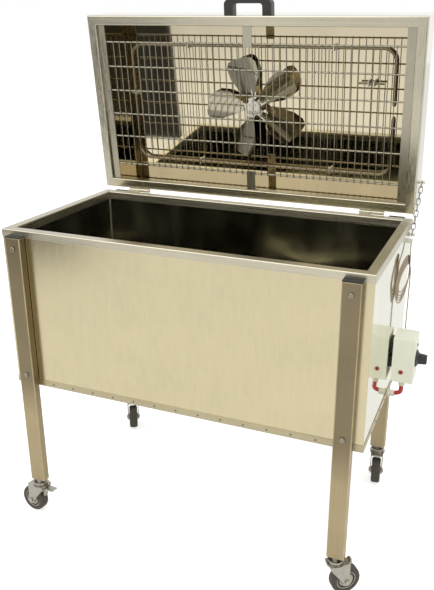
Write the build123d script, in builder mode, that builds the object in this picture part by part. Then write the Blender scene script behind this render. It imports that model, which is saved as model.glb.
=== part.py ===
from build123d import *
import math
import os

# Wax melter: an insulated sheet-metal tank on castored legs, with a deep fan-oven lid standing open

os.makedirs("parts", exist_ok=True)

# Chest and rim
chest_w = 1000.0
chest_d = 526.0
chest_h = 453.0
sheet = 1.5
rim_w = 27.0
lip_out = 20.0
lip_in = 24.0
bend = 3.0
pan_lip = 20.0
mitre_line = 0.8
fit = 0.2
tank_floor = 64.0
sump_floor = 40.0
sump_w = 80.0
spout_r = 17.0
spout_wall = 2.0
spout_drop = 42.0
spout_seat = 30.0
spout_step = 0.5

# Legs and castors
leg_w = 46.0
leg_t = 24.0
leg_wall = 2.0
leg_inset = 25.5
leg_len = 748.0
leg_drop = 13.0
rear_drop = 3.0
cap_t = 3.0
bolt_r = 4.0
bolt_head_r = 7.5
bolt_top = 46.0
bolt_rise = 40.0
bolt_low = chest_h - bolt_rise
wheel_d = 80.0
wheel_w = 28.0
castor_head = 28.0
trail = 28.0
king_r = 6.0
nut_h = 8.0
nut_r = 11.0
axle_r = 4.0
run_gap = 0.08
cheek_t = 3.0
cheek_gap = 2.5
pedal_w = 20.0
shoe_w = 12.0

# Lid
lid_depth = 126.0
lid_lean = 6.07
lid_gap = 1.0
liner_gap = 21.0
axis_back = 7.0
axis_face = 4.0
knuckle_r = 6.0
knuckle_l = 35.0
leaf_h = 22.0
pin_r = 3.5
hinge_x = 0.38 * chest_w
handle_w = 141.0
handle_h = 42.0
handle_d = 26.0
handle_at = 48.0
handle_foot = 24.0
handle_in = (handle_w - handle_foot) / 2

# Fan, heater and guard
fan_r = 147.0
fan_at = 66.0
hub_r = 22.0
hub_h = 16.0
arm_l = 34.0
arm_w = 20.0
shaft_r = 4.0
motor_r = 38.0
motor_l = 46.0
cover_w = 132.0
cover_h = 62.0
tube_r = 4.25
heater_x = 0.41 * chest_w
heater_low = 80.0
heater_high = 435.0
heater_at = 92.0
rod_r = 2.5
wire_r = 1.3
wire_pitch = 0.0202 * chest_w
wire_count = 43
rail_w = 24.0
guard_at = 8.0

# Control box, chain and sensor lead
box_off = 5.0
box_base = 45.0
box_cover = 14.0
box_y = 86.0
box_w = 76.0
box_rise = 175.0
box_top = chest_h - box_rise
box_h = 131.0
box_wall = 2.5
knob_r = 24.0
lead_r = 6.0
gland_up = 12.0
port_y = 42.0
port_len = 19.5
stud_r = 2.5
stud_y = 204.0
stud_drop = 30.0
lid_stud_u = 76.0
lid_stud_d = 65.0
link_wire = 1.5
link_half = 5.1
hook_in = 22.0
hook_half = 6.9
hook_reach = 57.0
play = 0.3
cable_r = 1.6

half_w = chest_w / 2
half_d = chest_d / 2
castor_h = wheel_d + castor_head
wheel_r = wheel_d / 2
leg_foot = castor_h + nut_h
rim_z = leg_foot + leg_len + leg_drop
base_z = rim_z - chest_h
skin_x = half_w - sheet
skin_y = half_d - sheet
tank_x = half_w - rim_w + sheet
tank_y = half_d - rim_w + sheet
leg_x = half_w - leg_inset - leg_w / 2
leg_y = half_d + leg_t / 2
UP = (Align.CENTER, Align.CENTER, Align.MIN)
DOWN = (Align.CENTER, Align.CENTER, Align.MAX)


def keep(builder, name):
    builder.part.label = name
    export_step(builder.part, "parts/" + name + ".step")


def level(z):
    return Plane.XY.offset(z)


lean = math.radians(lid_lean)
lid_up = Vector(0, -math.sin(lean), math.cos(lean))
lid_back = Vector(0, math.cos(lean), math.sin(lean))
hinge = Vector(0, half_d + axis_back, rim_z + lid_gap + axis_face)


def lid_at(depth):
    """Plane of the open lid, a depth behind its face: x to the right, y up from its hinge edge."""
    return Plane(hinge + lid_up * axis_back + lid_back * (depth - axis_face), (1, 0, 0), lid_back * -1)


def lid_point(x, u, depth):
    return hinge + Vector(x, 0, 0) + lid_up * (u + axis_back) + lid_back * (depth - axis_face)


lid_mid = chest_d / 2

# Where the screws and rivets stand
bolt_places = []
for sx in (-1, 1):
    for sy in (-1, 1):
        for drop in (bolt_top, bolt_low):
            bolt_places.append((sx * leg_x, sy, rim_z - drop))
pan_z = base_z + pan_lip / 2
pan_rivets = []
for sy in (-1, 1):
    for i in range(5):
        pan_rivets.append(Plane((chest_w * 0.19 * (i - 2), sy * half_d, pan_z), (1, 0, 0), (0, sy, 0)))
for sx in (-1, 1):
    for i in range(3):
        pan_rivets.append(Plane((sx * half_w, chest_d * 0.34 * (i - 1), pan_z), (0, 1, 0), (sx, 0, 0)))
lip_z = rim_z - lip_in / 2 - 2
lip_rivets = []
for f in (-0.92, -0.72, -0.52, -0.32, -0.1, 0.21, 0.4, 0.6, 0.8, 0.94):
    lip_rivets.append(Plane((f * (tank_x - sheet), tank_y - sheet, lip_z), (1, 0, 0), (0, -1, 0)))
    lip_rivets.append(Plane((f * (tank_x - sheet), sheet - tank_y, lip_z), (1, 0, 0), (0, 1, 0)))
rivet_hole = 1.6

# Control box faces
box_x0 = half_w + box_off
box_x1 = box_x0 + box_base
box_x2 = box_x1 + box_cover
box_z1 = rim_z - box_top
box_z0 = box_z1 - box_h
box_zc = (box_z0 + box_z1) / 2
block_w = 50.0
block_h = 31.0
block_z = (box_z1 - 35.0, box_z1 - 78.0)
knob_z = box_z1 - 67.0
screw_r = 2.0
screw_y = 16.0
gland_z = base_z + gland_up
gland_x = box_x0 + 30.0
gland_y = box_y - 26.0
lead_bend = 14.0
stud_z = rim_z - stud_drop
chain_x = half_w + 8.0
boot_z = rim_z - 49.0
foot_x = box_x0 + 14.5
foot_z = box_z1 - 39.0

# Rim: an inverted channel, mitred and ground at its corners
with BuildPart() as tank_rim:
    with BuildSketch(level(rim_z - lip_in)):
        Rectangle(chest_w, chest_d)
        Rectangle(chest_w - 2 * rim_w, chest_d - 2 * rim_w, mode=Mode.SUBTRACT)
    extrude(amount=lip_in)
    fillet(tank_rim.faces().sort_by(Axis.Z)[-1].edges(), bend)
    with BuildSketch(level(rim_z - lip_in)):
        Rectangle(chest_w - 2 * sheet, chest_d - 2 * sheet)
        Rectangle(2 * tank_x, 2 * tank_y, mode=Mode.SUBTRACT)
    extrude(amount=lip_in - sheet, mode=Mode.SUBTRACT)
    with BuildSketch(level(rim_z - lip_in)):
        Rectangle(chest_w + 2, chest_d + 2)
        Rectangle(chest_w - 2 * sheet, chest_d - 2 * sheet, mode=Mode.SUBTRACT)
    extrude(amount=lip_in - lip_out, mode=Mode.SUBTRACT)
    for sx in (-1, 1):
        for sy in (-1, 1):
            with Locations((sx * (half_w - rim_w / 2), sy * (half_d - rim_w / 2), rim_z)):
                Box(rim_w * 1.38, mitre_line, mitre_line, rotation=(0, 0, 45 * sx * sy), mode=Mode.SUBTRACT)
    with Locations(*lip_rivets):
        Cylinder(rivet_hole, 4 * sheet, mode=Mode.SUBTRACT)
keep(tank_rim, "tank_rim")

# Outer skin: a front sheet, and one sheet bent round the left, the rear and the right
with BuildPart() as front_panel:
    with Locations((0, sheet / 2 - skin_y, base_z + sheet)):
        Box(2 * skin_x, sheet, chest_h - 2 * sheet, align=UP)
    with Locations(*[Plane((x, -skin_y, z), (1, 0, 0), (0, -1, 0)) for x, sy, z in bolt_places if sy < 0]):
        Cylinder(bolt_r + 0.3, 6 * sheet, mode=Mode.SUBTRACT)
    with Locations(*[p for p in pan_rivets if p.z_dir.Y < -0.5]):
        Cylinder(rivet_hole, 6 * sheet, mode=Mode.SUBTRACT)
keep(front_panel, "front_panel")

with BuildPart() as body_wrap:
    with BuildSketch(level(base_z + sheet)):
        with Locations((0, sheet / 2)):
            Rectangle(2 * skin_x, 2 * skin_y - sheet)
        Rectangle(2 * (skin_x - sheet), 2 * (skin_y - sheet), mode=Mode.SUBTRACT)
    extrude(amount=chest_h - 2 * sheet)
    with Locations(*[Plane((x, skin_y, z), (1, 0, 0), (0, 1, 0)) for x, sy, z in bolt_places if sy > 0]):
        Cylinder(bolt_r + 0.3, 6 * sheet, mode=Mode.SUBTRACT)
    with Locations(*[p for p in pan_rivets if p.z_dir.Y > -0.5]):
        Cylinder(rivet_hole, 6 * sheet, mode=Mode.SUBTRACT)
    with Locations(Plane((skin_x, port_y, gland_z), (0, 1, 0), (1, 0, 0))):
        Cylinder(7.1, 6 * sheet, mode=Mode.SUBTRACT)
    with Locations(Plane((skin_x, stud_y, stud_z), (0, 1, 0), (1, 0, 0))):
        Cylinder(stud_r + 0.1, 6 * sheet, mode=Mode.SUBTRACT)
    with Locations(Plane((skin_x, stud_y, boot_z), (0, 1, 0), (1, 0, 0))):
        Cylinder(3.1, 6 * sheet, mode=Mode.SUBTRACT)
    for z in block_z:
        for k in (-1, 1):
            with Locations(Plane((skin_x, box_y + k * screw_y, z), (0, 1, 0), (1, 0, 0))):
                Cylinder(screw_r + 0.1, 6 * sheet, mode=Mode.SUBTRACT)
keep(body_wrap, "body_wrap")

with BuildPart() as bottom_pan:
    with BuildSketch(level(base_z)):
        Rectangle(chest_w, chest_d)
    extrude(amount=pan_lip)
    fillet(bottom_pan.faces().sort_by(Axis.Z)[0].edges(), bend)
    with BuildSketch(level(base_z + sheet)):
        Rectangle(2 * skin_x, 2 * skin_y)
    extrude(amount=pan_lip, mode=Mode.SUBTRACT)
    with Locations((0, 0, base_z)):
        Cylinder(spout_r + 0.3, 6 * sheet, mode=Mode.SUBTRACT)
    with Locations(*pan_rivets):
        Cylinder(rivet_hole, 6 * sheet, mode=Mode.SUBTRACT)
    with Locations(Plane((half_w, port_y, gland_z), (0, 1, 0), (1, 0, 0))):
        Cylinder(7.1, 6 * sheet, mode=Mode.SUBTRACT)
keep(bottom_pan, "bottom_pan")

with BuildPart() as shell_rivets:
    with Locations(*pan_rivets, *lip_rivets):
        Cylinder(3.4, 1.4, align=UP)
        Cylinder(1.55, 2 * sheet + 1.5, align=DOWN)
    fillet(shell_rivets.edges().filter_by(GeomType.CIRCLE).filter_by(lambda e: e.radius > 3), 0.6)
keep(shell_rivets, "shell_rivets")

# Tank: straight walls over a floor that falls to a sump in the middle
with BuildPart() as tank_liner:
    with BuildSketch(level(base_z + tank_floor)):
        Rectangle(2 * (tank_x + sheet), 2 * (tank_y + sheet))
    extrude(amount=chest_h - tank_floor - sheet)
    with BuildSketch(level(base_z + tank_floor)):
        Rectangle(2 * (tank_x + sheet), 2 * (tank_y + sheet))
    with BuildSketch(level(base_z + sump_floor)):
        Rectangle(sump_w, sump_w)
    loft()
    with BuildSketch(level(base_z + tank_floor + sheet)):
        Rectangle(2 * tank_x, 2 * tank_y)
    extrude(amount=chest_h, mode=Mode.SUBTRACT)
    with BuildSketch(level(base_z + tank_floor + sheet)):
        Rectangle(2 * tank_x, 2 * tank_y)
    with BuildSketch(level(base_z + sump_floor + sheet)):
        Rectangle(sump_w, sump_w)
    loft(mode=Mode.SUBTRACT)
    with Locations((0, 0, base_z + sump_floor)):
        Cylinder(spout_r - spout_wall, 8 * sheet, mode=Mode.SUBTRACT)
    with Locations(*lip_rivets):
        Cylinder(rivet_hole, 8 * sheet, mode=Mode.SUBTRACT)
    with Locations((0, 0, base_z + sump_floor)):
        Cylinder(spout_r + 10, 2.5, align=DOWN)
    with Locations((0, 0, base_z - spout_drop)):
        Cylinder(spout_r, spout_seat, align=UP)
        Cylinder(spout_r - spout_step, spout_drop + sump_floor - 1, align=UP)
        Cylinder(spout_r - spout_wall, spout_drop + sump_floor + 4 * sheet, align=UP, mode=Mode.SUBTRACT)
keep(tank_liner, "tank_liner")

fill_x = skin_x - sheet - fit
fill_y = skin_y - sheet - fit
with BuildPart() as chest_insulation:
    with BuildSketch(level(base_z + sheet)):
        Rectangle(2 * fill_x, 2 * fill_y)
    extrude(amount=chest_h - 3 * sheet)
    with BuildSketch(level(base_z + tank_floor)):
        Rectangle(2 * (tank_x + sheet + fit), 2 * (tank_y + sheet + fit))
    extrude(amount=chest_h, mode=Mode.SUBTRACT)
    with BuildSketch(level(base_z + tank_floor)):
        Rectangle(2 * (tank_x + sheet + fit), 2 * (tank_y + sheet + fit))
    with BuildSketch(level(base_z + sump_floor - fit)):
        Rectangle(sump_w, sump_w)
    loft(mode=Mode.SUBTRACT)
    with Locations((0, 0, base_z + sump_floor)):
        Cylinder(spout_r + 11, 8, mode=Mode.SUBTRACT)
    with Locations((0, 0, base_z)):
        Cylinder(spout_r + 1, sump_floor + 2, align=UP, mode=Mode.SUBTRACT)
    with Locations(*[Plane((x, s * fill_y, z), (1, 0, 0), (0, s, 0)) for x, s, z in bolt_places]):
        Cylinder(10, 12, align=DOWN, mode=Mode.SUBTRACT)
    with Locations(*[Plane(p.origin - p.z_dir * 3 * sheet, p.x_dir, p.z_dir) for p in pan_rivets]):
        Cylinder(4, 3, mode=Mode.SUBTRACT)
    with Locations(*[Plane(p.origin - p.z_dir * 2 * sheet, p.x_dir, p.z_dir) for p in lip_rivets]):
        Cylinder(4, 3, align=DOWN, mode=Mode.SUBTRACT)
    for y, z, r in [(port_y, gland_z, 11.0), (stud_y, stud_z, 8.0), (stud_y, boot_z, 7.0)]:
        with Locations(Plane((fill_x, y, z), (0, 1, 0), (1, 0, 0))):
            Cylinder(r, 16, align=DOWN, mode=Mode.SUBTRACT)
    for z in block_z:
        for s in (-1, 1):
            with Locations(Plane((fill_x, box_y + s * screw_y, z), (0, 1, 0), (1, 0, 0))):
                Cylinder(6, 10, align=DOWN, mode=Mode.SUBTRACT)
keep(chest_insulation, "chest_insulation")

# Legs: rectangular tube, bolted to the outside of the front and the rear
leg_names = (("fl", -1, -1), ("fr", 1, -1), ("rl", -1, 1), ("rr", 1, 1))
leg_tops = {-1: rim_z - leg_drop - cap_t, 1: rim_z - rear_drop - cap_t}
for name, sx, sy in leg_names:
    with BuildPart() as leg:
        with BuildSketch(level(leg_foot)):
            with Locations((sx * leg_x, sy * leg_y)):
                RectangleRounded(leg_w, leg_t, 3)
                RectangleRounded(leg_w - 2 * leg_wall, leg_t - 2 * leg_wall, 1, mode=Mode.SUBTRACT)
        extrude(amount=leg_tops[sy] - leg_foot)
        for drop in (bolt_top, bolt_low):
            with Locations(Plane((sx * leg_x, sy * leg_y, rim_z - drop), (1, 0, 0), (0, sy, 0))):
                Cylinder(bolt_r + 0.3, 2 * leg_t, mode=Mode.SUBTRACT)
    keep(leg, "leg_" + name)

with BuildPart() as leg_plugs:
    for name, sx, sy in leg_names:
        with BuildSketch(level(leg_tops[sy])):
            with Locations((sx * leg_x, sy * leg_y)):
                RectangleRounded(leg_w, leg_t, 3)
        extrude(amount=cap_t)
        with BuildSketch(level(leg_tops[sy])):
            with Locations((sx * leg_x, sy * leg_y)):
                RectangleRounded(leg_w - 2 * leg_wall, leg_t - 2 * leg_wall, 1.2)
        extrude(amount=-12)
        with BuildSketch(level(leg_foot)):
            with Locations((sx * leg_x, sy * leg_y)):
                RectangleRounded(leg_w - 2 * leg_wall, leg_t - 2 * leg_wall, 1.2)
                Circle(king_r + 0.03, mode=Mode.SUBTRACT)
        extrude(amount=32)
keep(leg_plugs, "leg_plugs")

with BuildPart() as leg_bolts:
    for x, sy, z in bolt_places:
        with Locations(Plane((x, sy * (half_d + leg_t), z), (1, 0, 0), (0, sy, 0))):
            Cylinder(bolt_head_r, 4.5, align=UP)
            Cylinder(bolt_r, leg_t + 2 * sheet + 9, align=DOWN)
    fillet(leg_bolts.edges().filter_by(GeomType.CIRCLE).filter_by(
        lambda e: e.radius > bolt_head_r - 0.1 and abs(e.arc_center.Y) > half_d + leg_t + 4), 3)
    for x, sy, z in bolt_places:
        with BuildSketch(Plane((x, sy * (skin_y - sheet), z), (1, 0, 0), (0, -sy, 0))):
            RegularPolygon(7.5, 6)
            Circle(bolt_r + 0.03, mode=Mode.SUBTRACT)
        extrude(amount=6.5)
keep(leg_bolts, "leg_bolts")

# Castors: each fork trails the way it stands
castors = (("fl", -leg_x, -leg_y, 172.0, -1), ("fr", leg_x, -leg_y, 39.0, 1),
           ("rl", -leg_x, leg_y, -60.0, 0), ("rr", leg_x, leg_y, -81.0, 0))
crown_z = castor_h - 10.3
fork_in = wheel_w / 2 + cheek_gap
with BuildPart() as castor_heads:
    for name, lx, ly, turn, pedal in castors:
        with Locations((lx, ly, castor_h)):
            Cylinder(king_r, 28 + nut_h, align=UP)
            Cylinder(20, 4, align=DOWN)
            Cylinder(king_r, 18, align=DOWN)
        with Locations((lx, ly, castor_h - 16.6)):
            Cylinder(9.5, 4.4, align=DOWN)
        with BuildSketch(level(castor_h)):
            with Locations((lx, ly)):
                RegularPolygon(nut_r, 6)
        extrude(amount=nut_h)
        with BuildSketch(level(castor_h - 4)):
            with Locations((lx, ly)):
                Circle(17.5)
                Circle(king_r + 1, mode=Mode.SUBTRACT)
        extrude(amount=-6)
keep(castor_heads, "castor_heads")

for name, lx, ly, turn, pedal in castors:
    c, s = math.cos(math.radians(turn)), math.sin(math.radians(turn))
    side = Plane((lx, ly, 0), (c, s, 0), (s, -c, 0))
    pivot = -16.0 if pedal < 0 else 30.0
    pin_z = castor_h - (21.5 if pedal < 0 else 19.5)
    web_end = 23.0 if pedal > 0 else 34.0
    with BuildPart() as castor_fork:
        with Locations((lx, ly, crown_z)):
            Cylinder(24, 5.7, align=DOWN)
        for k in (-1, 1):
            with BuildSketch(side.offset(k * (fork_in + cheek_t / 2) - cheek_t / 2)):
                with BuildLine():
                    Polyline((-21, crown_z - 1), (34, crown_z - 1), (34, wheel_r + 24), (trail + 12, wheel_r),
                             (trail - 12, wheel_r), (-21, crown_z - 9), close=True)
                make_face()
                with Locations((trail, wheel_r)):
                    Circle(12)
            extrude(amount=cheek_t)
        with BuildSketch(side.offset(-fork_in)):
            with BuildLine():
                Polyline((-21, crown_z - 1), (web_end, crown_z - 1), (web_end, crown_z - 5.7), (-21, crown_z - 5.7),
                         close=True)
            make_face()
        extrude(amount=2 * fork_in)
        with Locations((lx, ly, crown_z)):
            Cylinder(king_r + run_gap, 40, mode=Mode.SUBTRACT)
        with BuildSketch(side.offset(-fork_in - 2 * cheek_t)):
            with Locations((trail, wheel_r)):
                Circle(axle_r + 0.02)
        extrude(amount=2 * fork_in + 4 * cheek_t, mode=Mode.SUBTRACT)
        with BuildSketch(side.offset(-fork_in - cheek_t)):
            with Locations((trail, wheel_r)):
                Circle(axle_r)
        extrude(amount=2 * fork_in + 2 * cheek_t)
        for k in (-1, 1):
            with BuildSketch(side.offset(k * (fork_in + cheek_t))):
                with Locations((trail, wheel_r)):
                    Circle(7)
            extrude(amount=k * 3.5)
        if pedal:
            with BuildSketch(side.offset(-fork_in - cheek_t)):
                with Locations((pivot, pin_z)):
                    Circle(2.5)
            extrude(amount=2 * fork_in + 2 * cheek_t)
    keep(castor_fork, "castor_fork_" + name)

    with BuildPart() as castor_wheel:
        with BuildSketch(side.offset(-wheel_w / 2 + 2)):
            with Locations((trail, wheel_r)):
                Circle(wheel_r - 13)
        extrude(amount=wheel_w - 4)
        for k in (-1, 1):
            with BuildSketch(side.offset(k * (wheel_w / 2 - 2))):
                with Locations((trail, wheel_r)):
                    Circle(wheel_r - 16)
                    Circle(wheel_r - 20, mode=Mode.SUBTRACT)
            extrude(amount=-k * 3, mode=Mode.SUBTRACT)
        with BuildSketch(side.offset(-fork_in + 0.4)):
            with Locations((trail, wheel_r)):
                Circle(11)
        extrude(amount=2 * fork_in - 0.8)
        with BuildSketch(side.offset(-fork_in)):
            with Locations((trail, wheel_r)):
                Circle(axle_r + run_gap)
        extrude(amount=2 * fork_in, mode=Mode.SUBTRACT)
    keep(castor_wheel, "castor_wheel_" + name)

    with BuildPart() as castor_tyre:
        with BuildSketch(side.offset(-wheel_w / 2)):
            with Locations((trail, wheel_r)):
                Circle(wheel_r)
        extrude(amount=wheel_w)
        fillet(castor_tyre.edges().filter_by(GeomType.CIRCLE), 7)
        with BuildSketch(side.offset(-wheel_w / 2)):
            with Locations((trail, wheel_r)):
                Circle(wheel_r - 13 + 0.03)
        extrude(amount=wheel_w, mode=Mode.SUBTRACT)
    keep(castor_tyre, "castor_tyre_" + name)

    if pedal:
        with BuildPart() as brake_pedal:
            with BuildSketch(side.offset(0.5 - fork_in)):
                with Locations((pivot, pin_z)):
                    Circle(5)
            extrude(amount=2 * fork_in - 1)
            with BuildSketch(side.offset(-pedal_w / 2)):
                with BuildLine():
                    if pedal < 0:
                        Polyline((pivot + 2, pin_z + 4), (pivot - 38, pin_z + 7), (pivot - 38, pin_z + 4),
                                 (pivot - 4, pin_z - 3), close=True)
                    else:
                        Polyline((pivot - 2, pin_z + 4.5), (pivot + 8, pin_z + 4.5), (pivot + 9, pin_z + 11),
                                 (pivot + 13, pin_z + 11), (pivot + 12, pin_z), (pivot, pin_z - 2), close=True)
                make_face()
            extrude(amount=pedal_w)
            if pedal > 0:
                fillet(brake_pedal.edges().group_by(Axis.Z)[-1].sort_by(SortBy.LENGTH)[:2], 5)
            if pedal < 0:
                with BuildSketch(side.offset(-shoe_w / 2)):
                    with BuildLine():
                        Polyline((pivot - 4, pin_z - 2), (pivot - 2, pin_z - 26), (pivot + 2, pin_z - 26),
                                 (pivot + 4, pin_z - 2), close=True)
                    make_face()
                extrude(amount=shoe_w)
            with BuildSketch(side.offset(-fork_in)):
                with Locations((pivot, pin_z)):
                    Circle(2.5 + run_gap)
            extrude(amount=2 * fork_in, mode=Mode.SUBTRACT)
        keep(brake_pedal, "brake_pedal_" + name)

# Lid: outer box, channel frame, inner pan and wool between
with BuildPart() as lid_shell:
    with BuildSketch(lid_at(sheet)):
        with Locations((0, lid_mid)):
            Rectangle(2 * skin_x, 2 * skin_y)
    extrude(amount=sheet - lid_depth)
    fillet(lid_shell.faces().sort_by(Axis(lid_at(0).origin, lid_back))[-1].edges(), bend + 1)
    with BuildSketch(lid_at(sheet)):
        with Locations((0, lid_mid)):
            Rectangle(2 * (skin_x - sheet), 2 * (skin_y - sheet))
    extrude(amount=2 * sheet - lid_depth, mode=Mode.SUBTRACT)
    with Locations(lid_at(lid_depth)):
        with Locations((0, lid_mid, 0)):
            Cylinder(10, 8, mode=Mode.SUBTRACT)
    with Locations(Plane(lid_point(skin_x, lid_stud_u, lid_stud_d), lid_up, (1, 0, 0))):
        Cylinder(stud_r + 0.1, 8, mode=Mode.SUBTRACT)
    for sx in (-1, 1):
        with Locations(Plane(lid_point(sx * handle_in, chest_d - sheet, handle_at), (1, 0, 0), lid_up)):
            Cylinder(3.1, 8, mode=Mode.SUBTRACT)
keep(lid_shell, "lid_shell")

with BuildPart() as lid_frame:
    with BuildSketch(lid_at(lip_in)):
        with Locations((0, lid_mid)):
            Rectangle(chest_w, chest_d)
            Rectangle(chest_w - 2 * rim_w, chest_d - 2 * rim_w, mode=Mode.SUBTRACT)
    extrude(amount=lip_in)
    fillet(lid_frame.faces().sort_by(Axis(lid_at(0).origin, lid_back))[0].edges(), bend)
    with BuildSketch(lid_at(lip_in)):
        with Locations((0, lid_mid)):
            Rectangle(chest_w - 2 * sheet, chest_d - 2 * sheet)
            Rectangle(2 * tank_x, 2 * tank_y, mode=Mode.SUBTRACT)
    extrude(amount=lip_in - sheet, mode=Mode.SUBTRACT)
    with BuildSketch(lid_at(lip_in)):
        with Locations((0, lid_mid)):
            Rectangle(chest_w + 2, chest_d + 2)
            Rectangle(chest_w - 2 * sheet, chest_d - 2 * sheet, mode=Mode.SUBTRACT)
    extrude(amount=lip_in - lip_out, mode=Mode.SUBTRACT)
    for sx in (-1, 1):
        for sy in (-1, 1):
            with BuildSketch(lid_at(mitre_line / 2)):
                with Locations((sx * (half_w - rim_w / 2), lid_mid + sy * (half_d - rim_w / 2))):
                    Rectangle(rim_w * 1.38, mitre_line, rotation=45 * sx * sy)
            extrude(amount=mitre_line, mode=Mode.SUBTRACT)
keep(lid_frame, "lid_frame")

liner_at = lid_depth - liner_gap
with BuildPart() as lid_liner:
    with BuildSketch(lid_at(sheet)):
        with Locations((0, lid_mid)):
            Rectangle(2 * (tank_x + sheet), 2 * (tank_y + sheet))
    extrude(amount=sheet - liner_at)
    with BuildSketch(lid_at(sheet)):
        with Locations((0, lid_mid)):
            Rectangle(2 * tank_x, 2 * tank_y)
    extrude(amount=2 * sheet - liner_at, mode=Mode.SUBTRACT)
    with Locations(lid_at(liner_at)):
        with Locations((0, lid_mid, 0)):
            Cylinder(shaft_r + 2, 8, mode=Mode.SUBTRACT)
        with Locations((heater_x, lid_mid + 18, 0), (heater_x, lid_mid - 18, 0)):
            Cylinder(tube_r + 0.3, 8, mode=Mode.SUBTRACT)
        with Locations((heater_x - 64, chest_d * 0.65, 0)):
            Cylinder(2.2, 8, mode=Mode.SUBTRACT)
keep(lid_liner, "lid_liner")

with BuildPart() as lid_insulation:
    with BuildSketch(lid_at(2 * sheet)):
        with Locations((0, lid_mid)):
            Rectangle(2 * fill_x, 2 * fill_y)
    extrude(amount=3 * sheet - lid_depth)
    with BuildSketch(lid_at(0)):
        with Locations((0, lid_mid)):
            Rectangle(2 * (tank_x + sheet + fit), 2 * (tank_y + sheet + fit))
    extrude(amount=-liner_at, mode=Mode.SUBTRACT)
    with Locations(lid_at(lid_depth)):
        with Locations((0, lid_mid, 0)):
            Cylinder(12, 80, mode=Mode.SUBTRACT)
        with Locations((heater_x, lid_mid + 18, 0), (heater_x, lid_mid - 18, 0)):
            Cylinder(9, 80, mode=Mode.SUBTRACT)
        with Locations((heater_x - 64, chest_d * 0.65, 0)):
            Cylinder(4, 80, mode=Mode.SUBTRACT)
    with Locations(Plane(lid_point(fill_x, lid_stud_u, lid_stud_d), lid_up, (1, 0, 0))):
        Cylinder(8, 14, align=DOWN, mode=Mode.SUBTRACT)
    for sx in (-1, 1):
        with Locations(Plane(lid_point(sx * handle_in, chest_d - sheet, handle_at), (1, 0, 0), lid_up)):
            Cylinder(8, 16, align=DOWN, mode=Mode.SUBTRACT)
keep(lid_insulation, "lid_insulation")

# Bridge handle and its two screws on the lid's front wall
wall_u = chest_d - sheet
with BuildPart() as lid_handle:
    with BuildSketch(lid_at(handle_at - handle_d / 2)):
        with Locations((0, wall_u + handle_h / 2)):
            Rectangle(handle_w, handle_h)
        with Locations((0, wall_u + (handle_h - 11) / 2)):
            Rectangle(handle_w - 54, handle_h - 11, mode=Mode.SUBTRACT)
    extrude(amount=-handle_d)
    tops = lid_handle.edges().filter_by(Axis(lid_at(0).origin, lid_back)).sort_by(Axis(lid_at(0).origin, lid_up))
    fillet(tops[-2:], 15)
    fillet(tops[4:6], 8)
    for sx in (-1, 1):
        with Locations(Plane(lid_point(sx * handle_in, wall_u, handle_at), (1, 0, 0), lid_up)):
            Cylinder(3.02, 16, align=UP, mode=Mode.SUBTRACT)
keep(lid_handle, "lid_handle")

# Weld-on hinges: left knuckle on the chest, right knuckle on the lid
with BuildPart() as hinge_leaves_chest:
    for sx in (-1, 1):
        with Locations(Plane((sx * hinge_x - 0.3, hinge.Y, hinge.Z), (0, 1, 0), (-1, 0, 0))):
            Cylinder(knuckle_r, knuckle_l, align=UP)
        with Locations((sx * hinge_x - 0.3 - knuckle_l / 2, half_d + 1.5, hinge.Z - 2)):
            Box(knuckle_l, 3, leaf_h, align=DOWN)
        with Locations(Plane((sx * hinge_x, hinge.Y, hinge.Z), (0, 1, 0), (-1, 0, 0))):
            Cylinder(pin_r + 0.02, 4 * knuckle_l, mode=Mode.SUBTRACT)
        with Locations(Plane((sx * hinge_x, hinge.Y, hinge.Z), (0, 1, 0), (1, 0, 0))):
            Cylinder(pin_r, 2 * knuckle_l)
        with Locations(Plane((sx * hinge_x - 0.3 - knuckle_l, hinge.Y, hinge.Z), (0, 1, 0), (-1, 0, 0))):
            Cylinder(pin_r + 1.5, 1.5, align=UP)
keep(hinge_leaves_chest, "hinge_leaves_chest")

with BuildPart() as hinge_leaves_lid:
    for sx in (-1, 1):
        with Locations(Plane((sx * hinge_x + 0.3, hinge.Y, hinge.Z), (0, 1, 0), (1, 0, 0))):
            Cylinder(knuckle_r, knuckle_l, align=UP)
        with BuildSketch(Plane(lid_point(sx * hinge_x + 0.3 + knuckle_l / 2, 0, 0), (1, 0, 0), lid_up)):
            with Locations((0, 9)):
                Rectangle(knuckle_l, 17)
        extrude(amount=-3)
        with Locations(Plane((sx * hinge_x, hinge.Y, hinge.Z), (0, 1, 0), (1, 0, 0))):
            Cylinder(pin_r + run_gap, 4 * knuckle_l, mode=Mode.SUBTRACT)
keep(hinge_leaves_lid, "hinge_leaves_lid")

# Circulating fan: motor on the lid's back, shaft through the wool, pressed blades on a spider
with BuildPart() as fan_motor:
    with Locations(lid_at(lid_depth)):
        with Locations((0, lid_mid, 0)):
            Cylinder(motor_r, motor_l, align=DOWN)
            Box(90, 90, 2.5, align=DOWN)
            Cylinder(shaft_r + run_gap, 2 * motor_l - 8, mode=Mode.SUBTRACT)
keep(fan_motor, "fan_motor")

with BuildPart() as motor_cover:
    with Locations(lid_at(lid_depth)):
        with Locations((0, lid_mid, 0)):
            Box(cover_w, cover_w, cover_h, align=DOWN)
            Box(cover_w - 2 * sheet, cover_w - 2 * sheet, 2 * (cover_h - sheet), mode=Mode.SUBTRACT)
            for i in range(5):
                with Locations((0, 16 * (i - 2), -cover_h / 2)):
                    Box(2 * cover_w, 5, 30, mode=Mode.SUBTRACT)
keep(motor_cover, "motor_cover")

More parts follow.
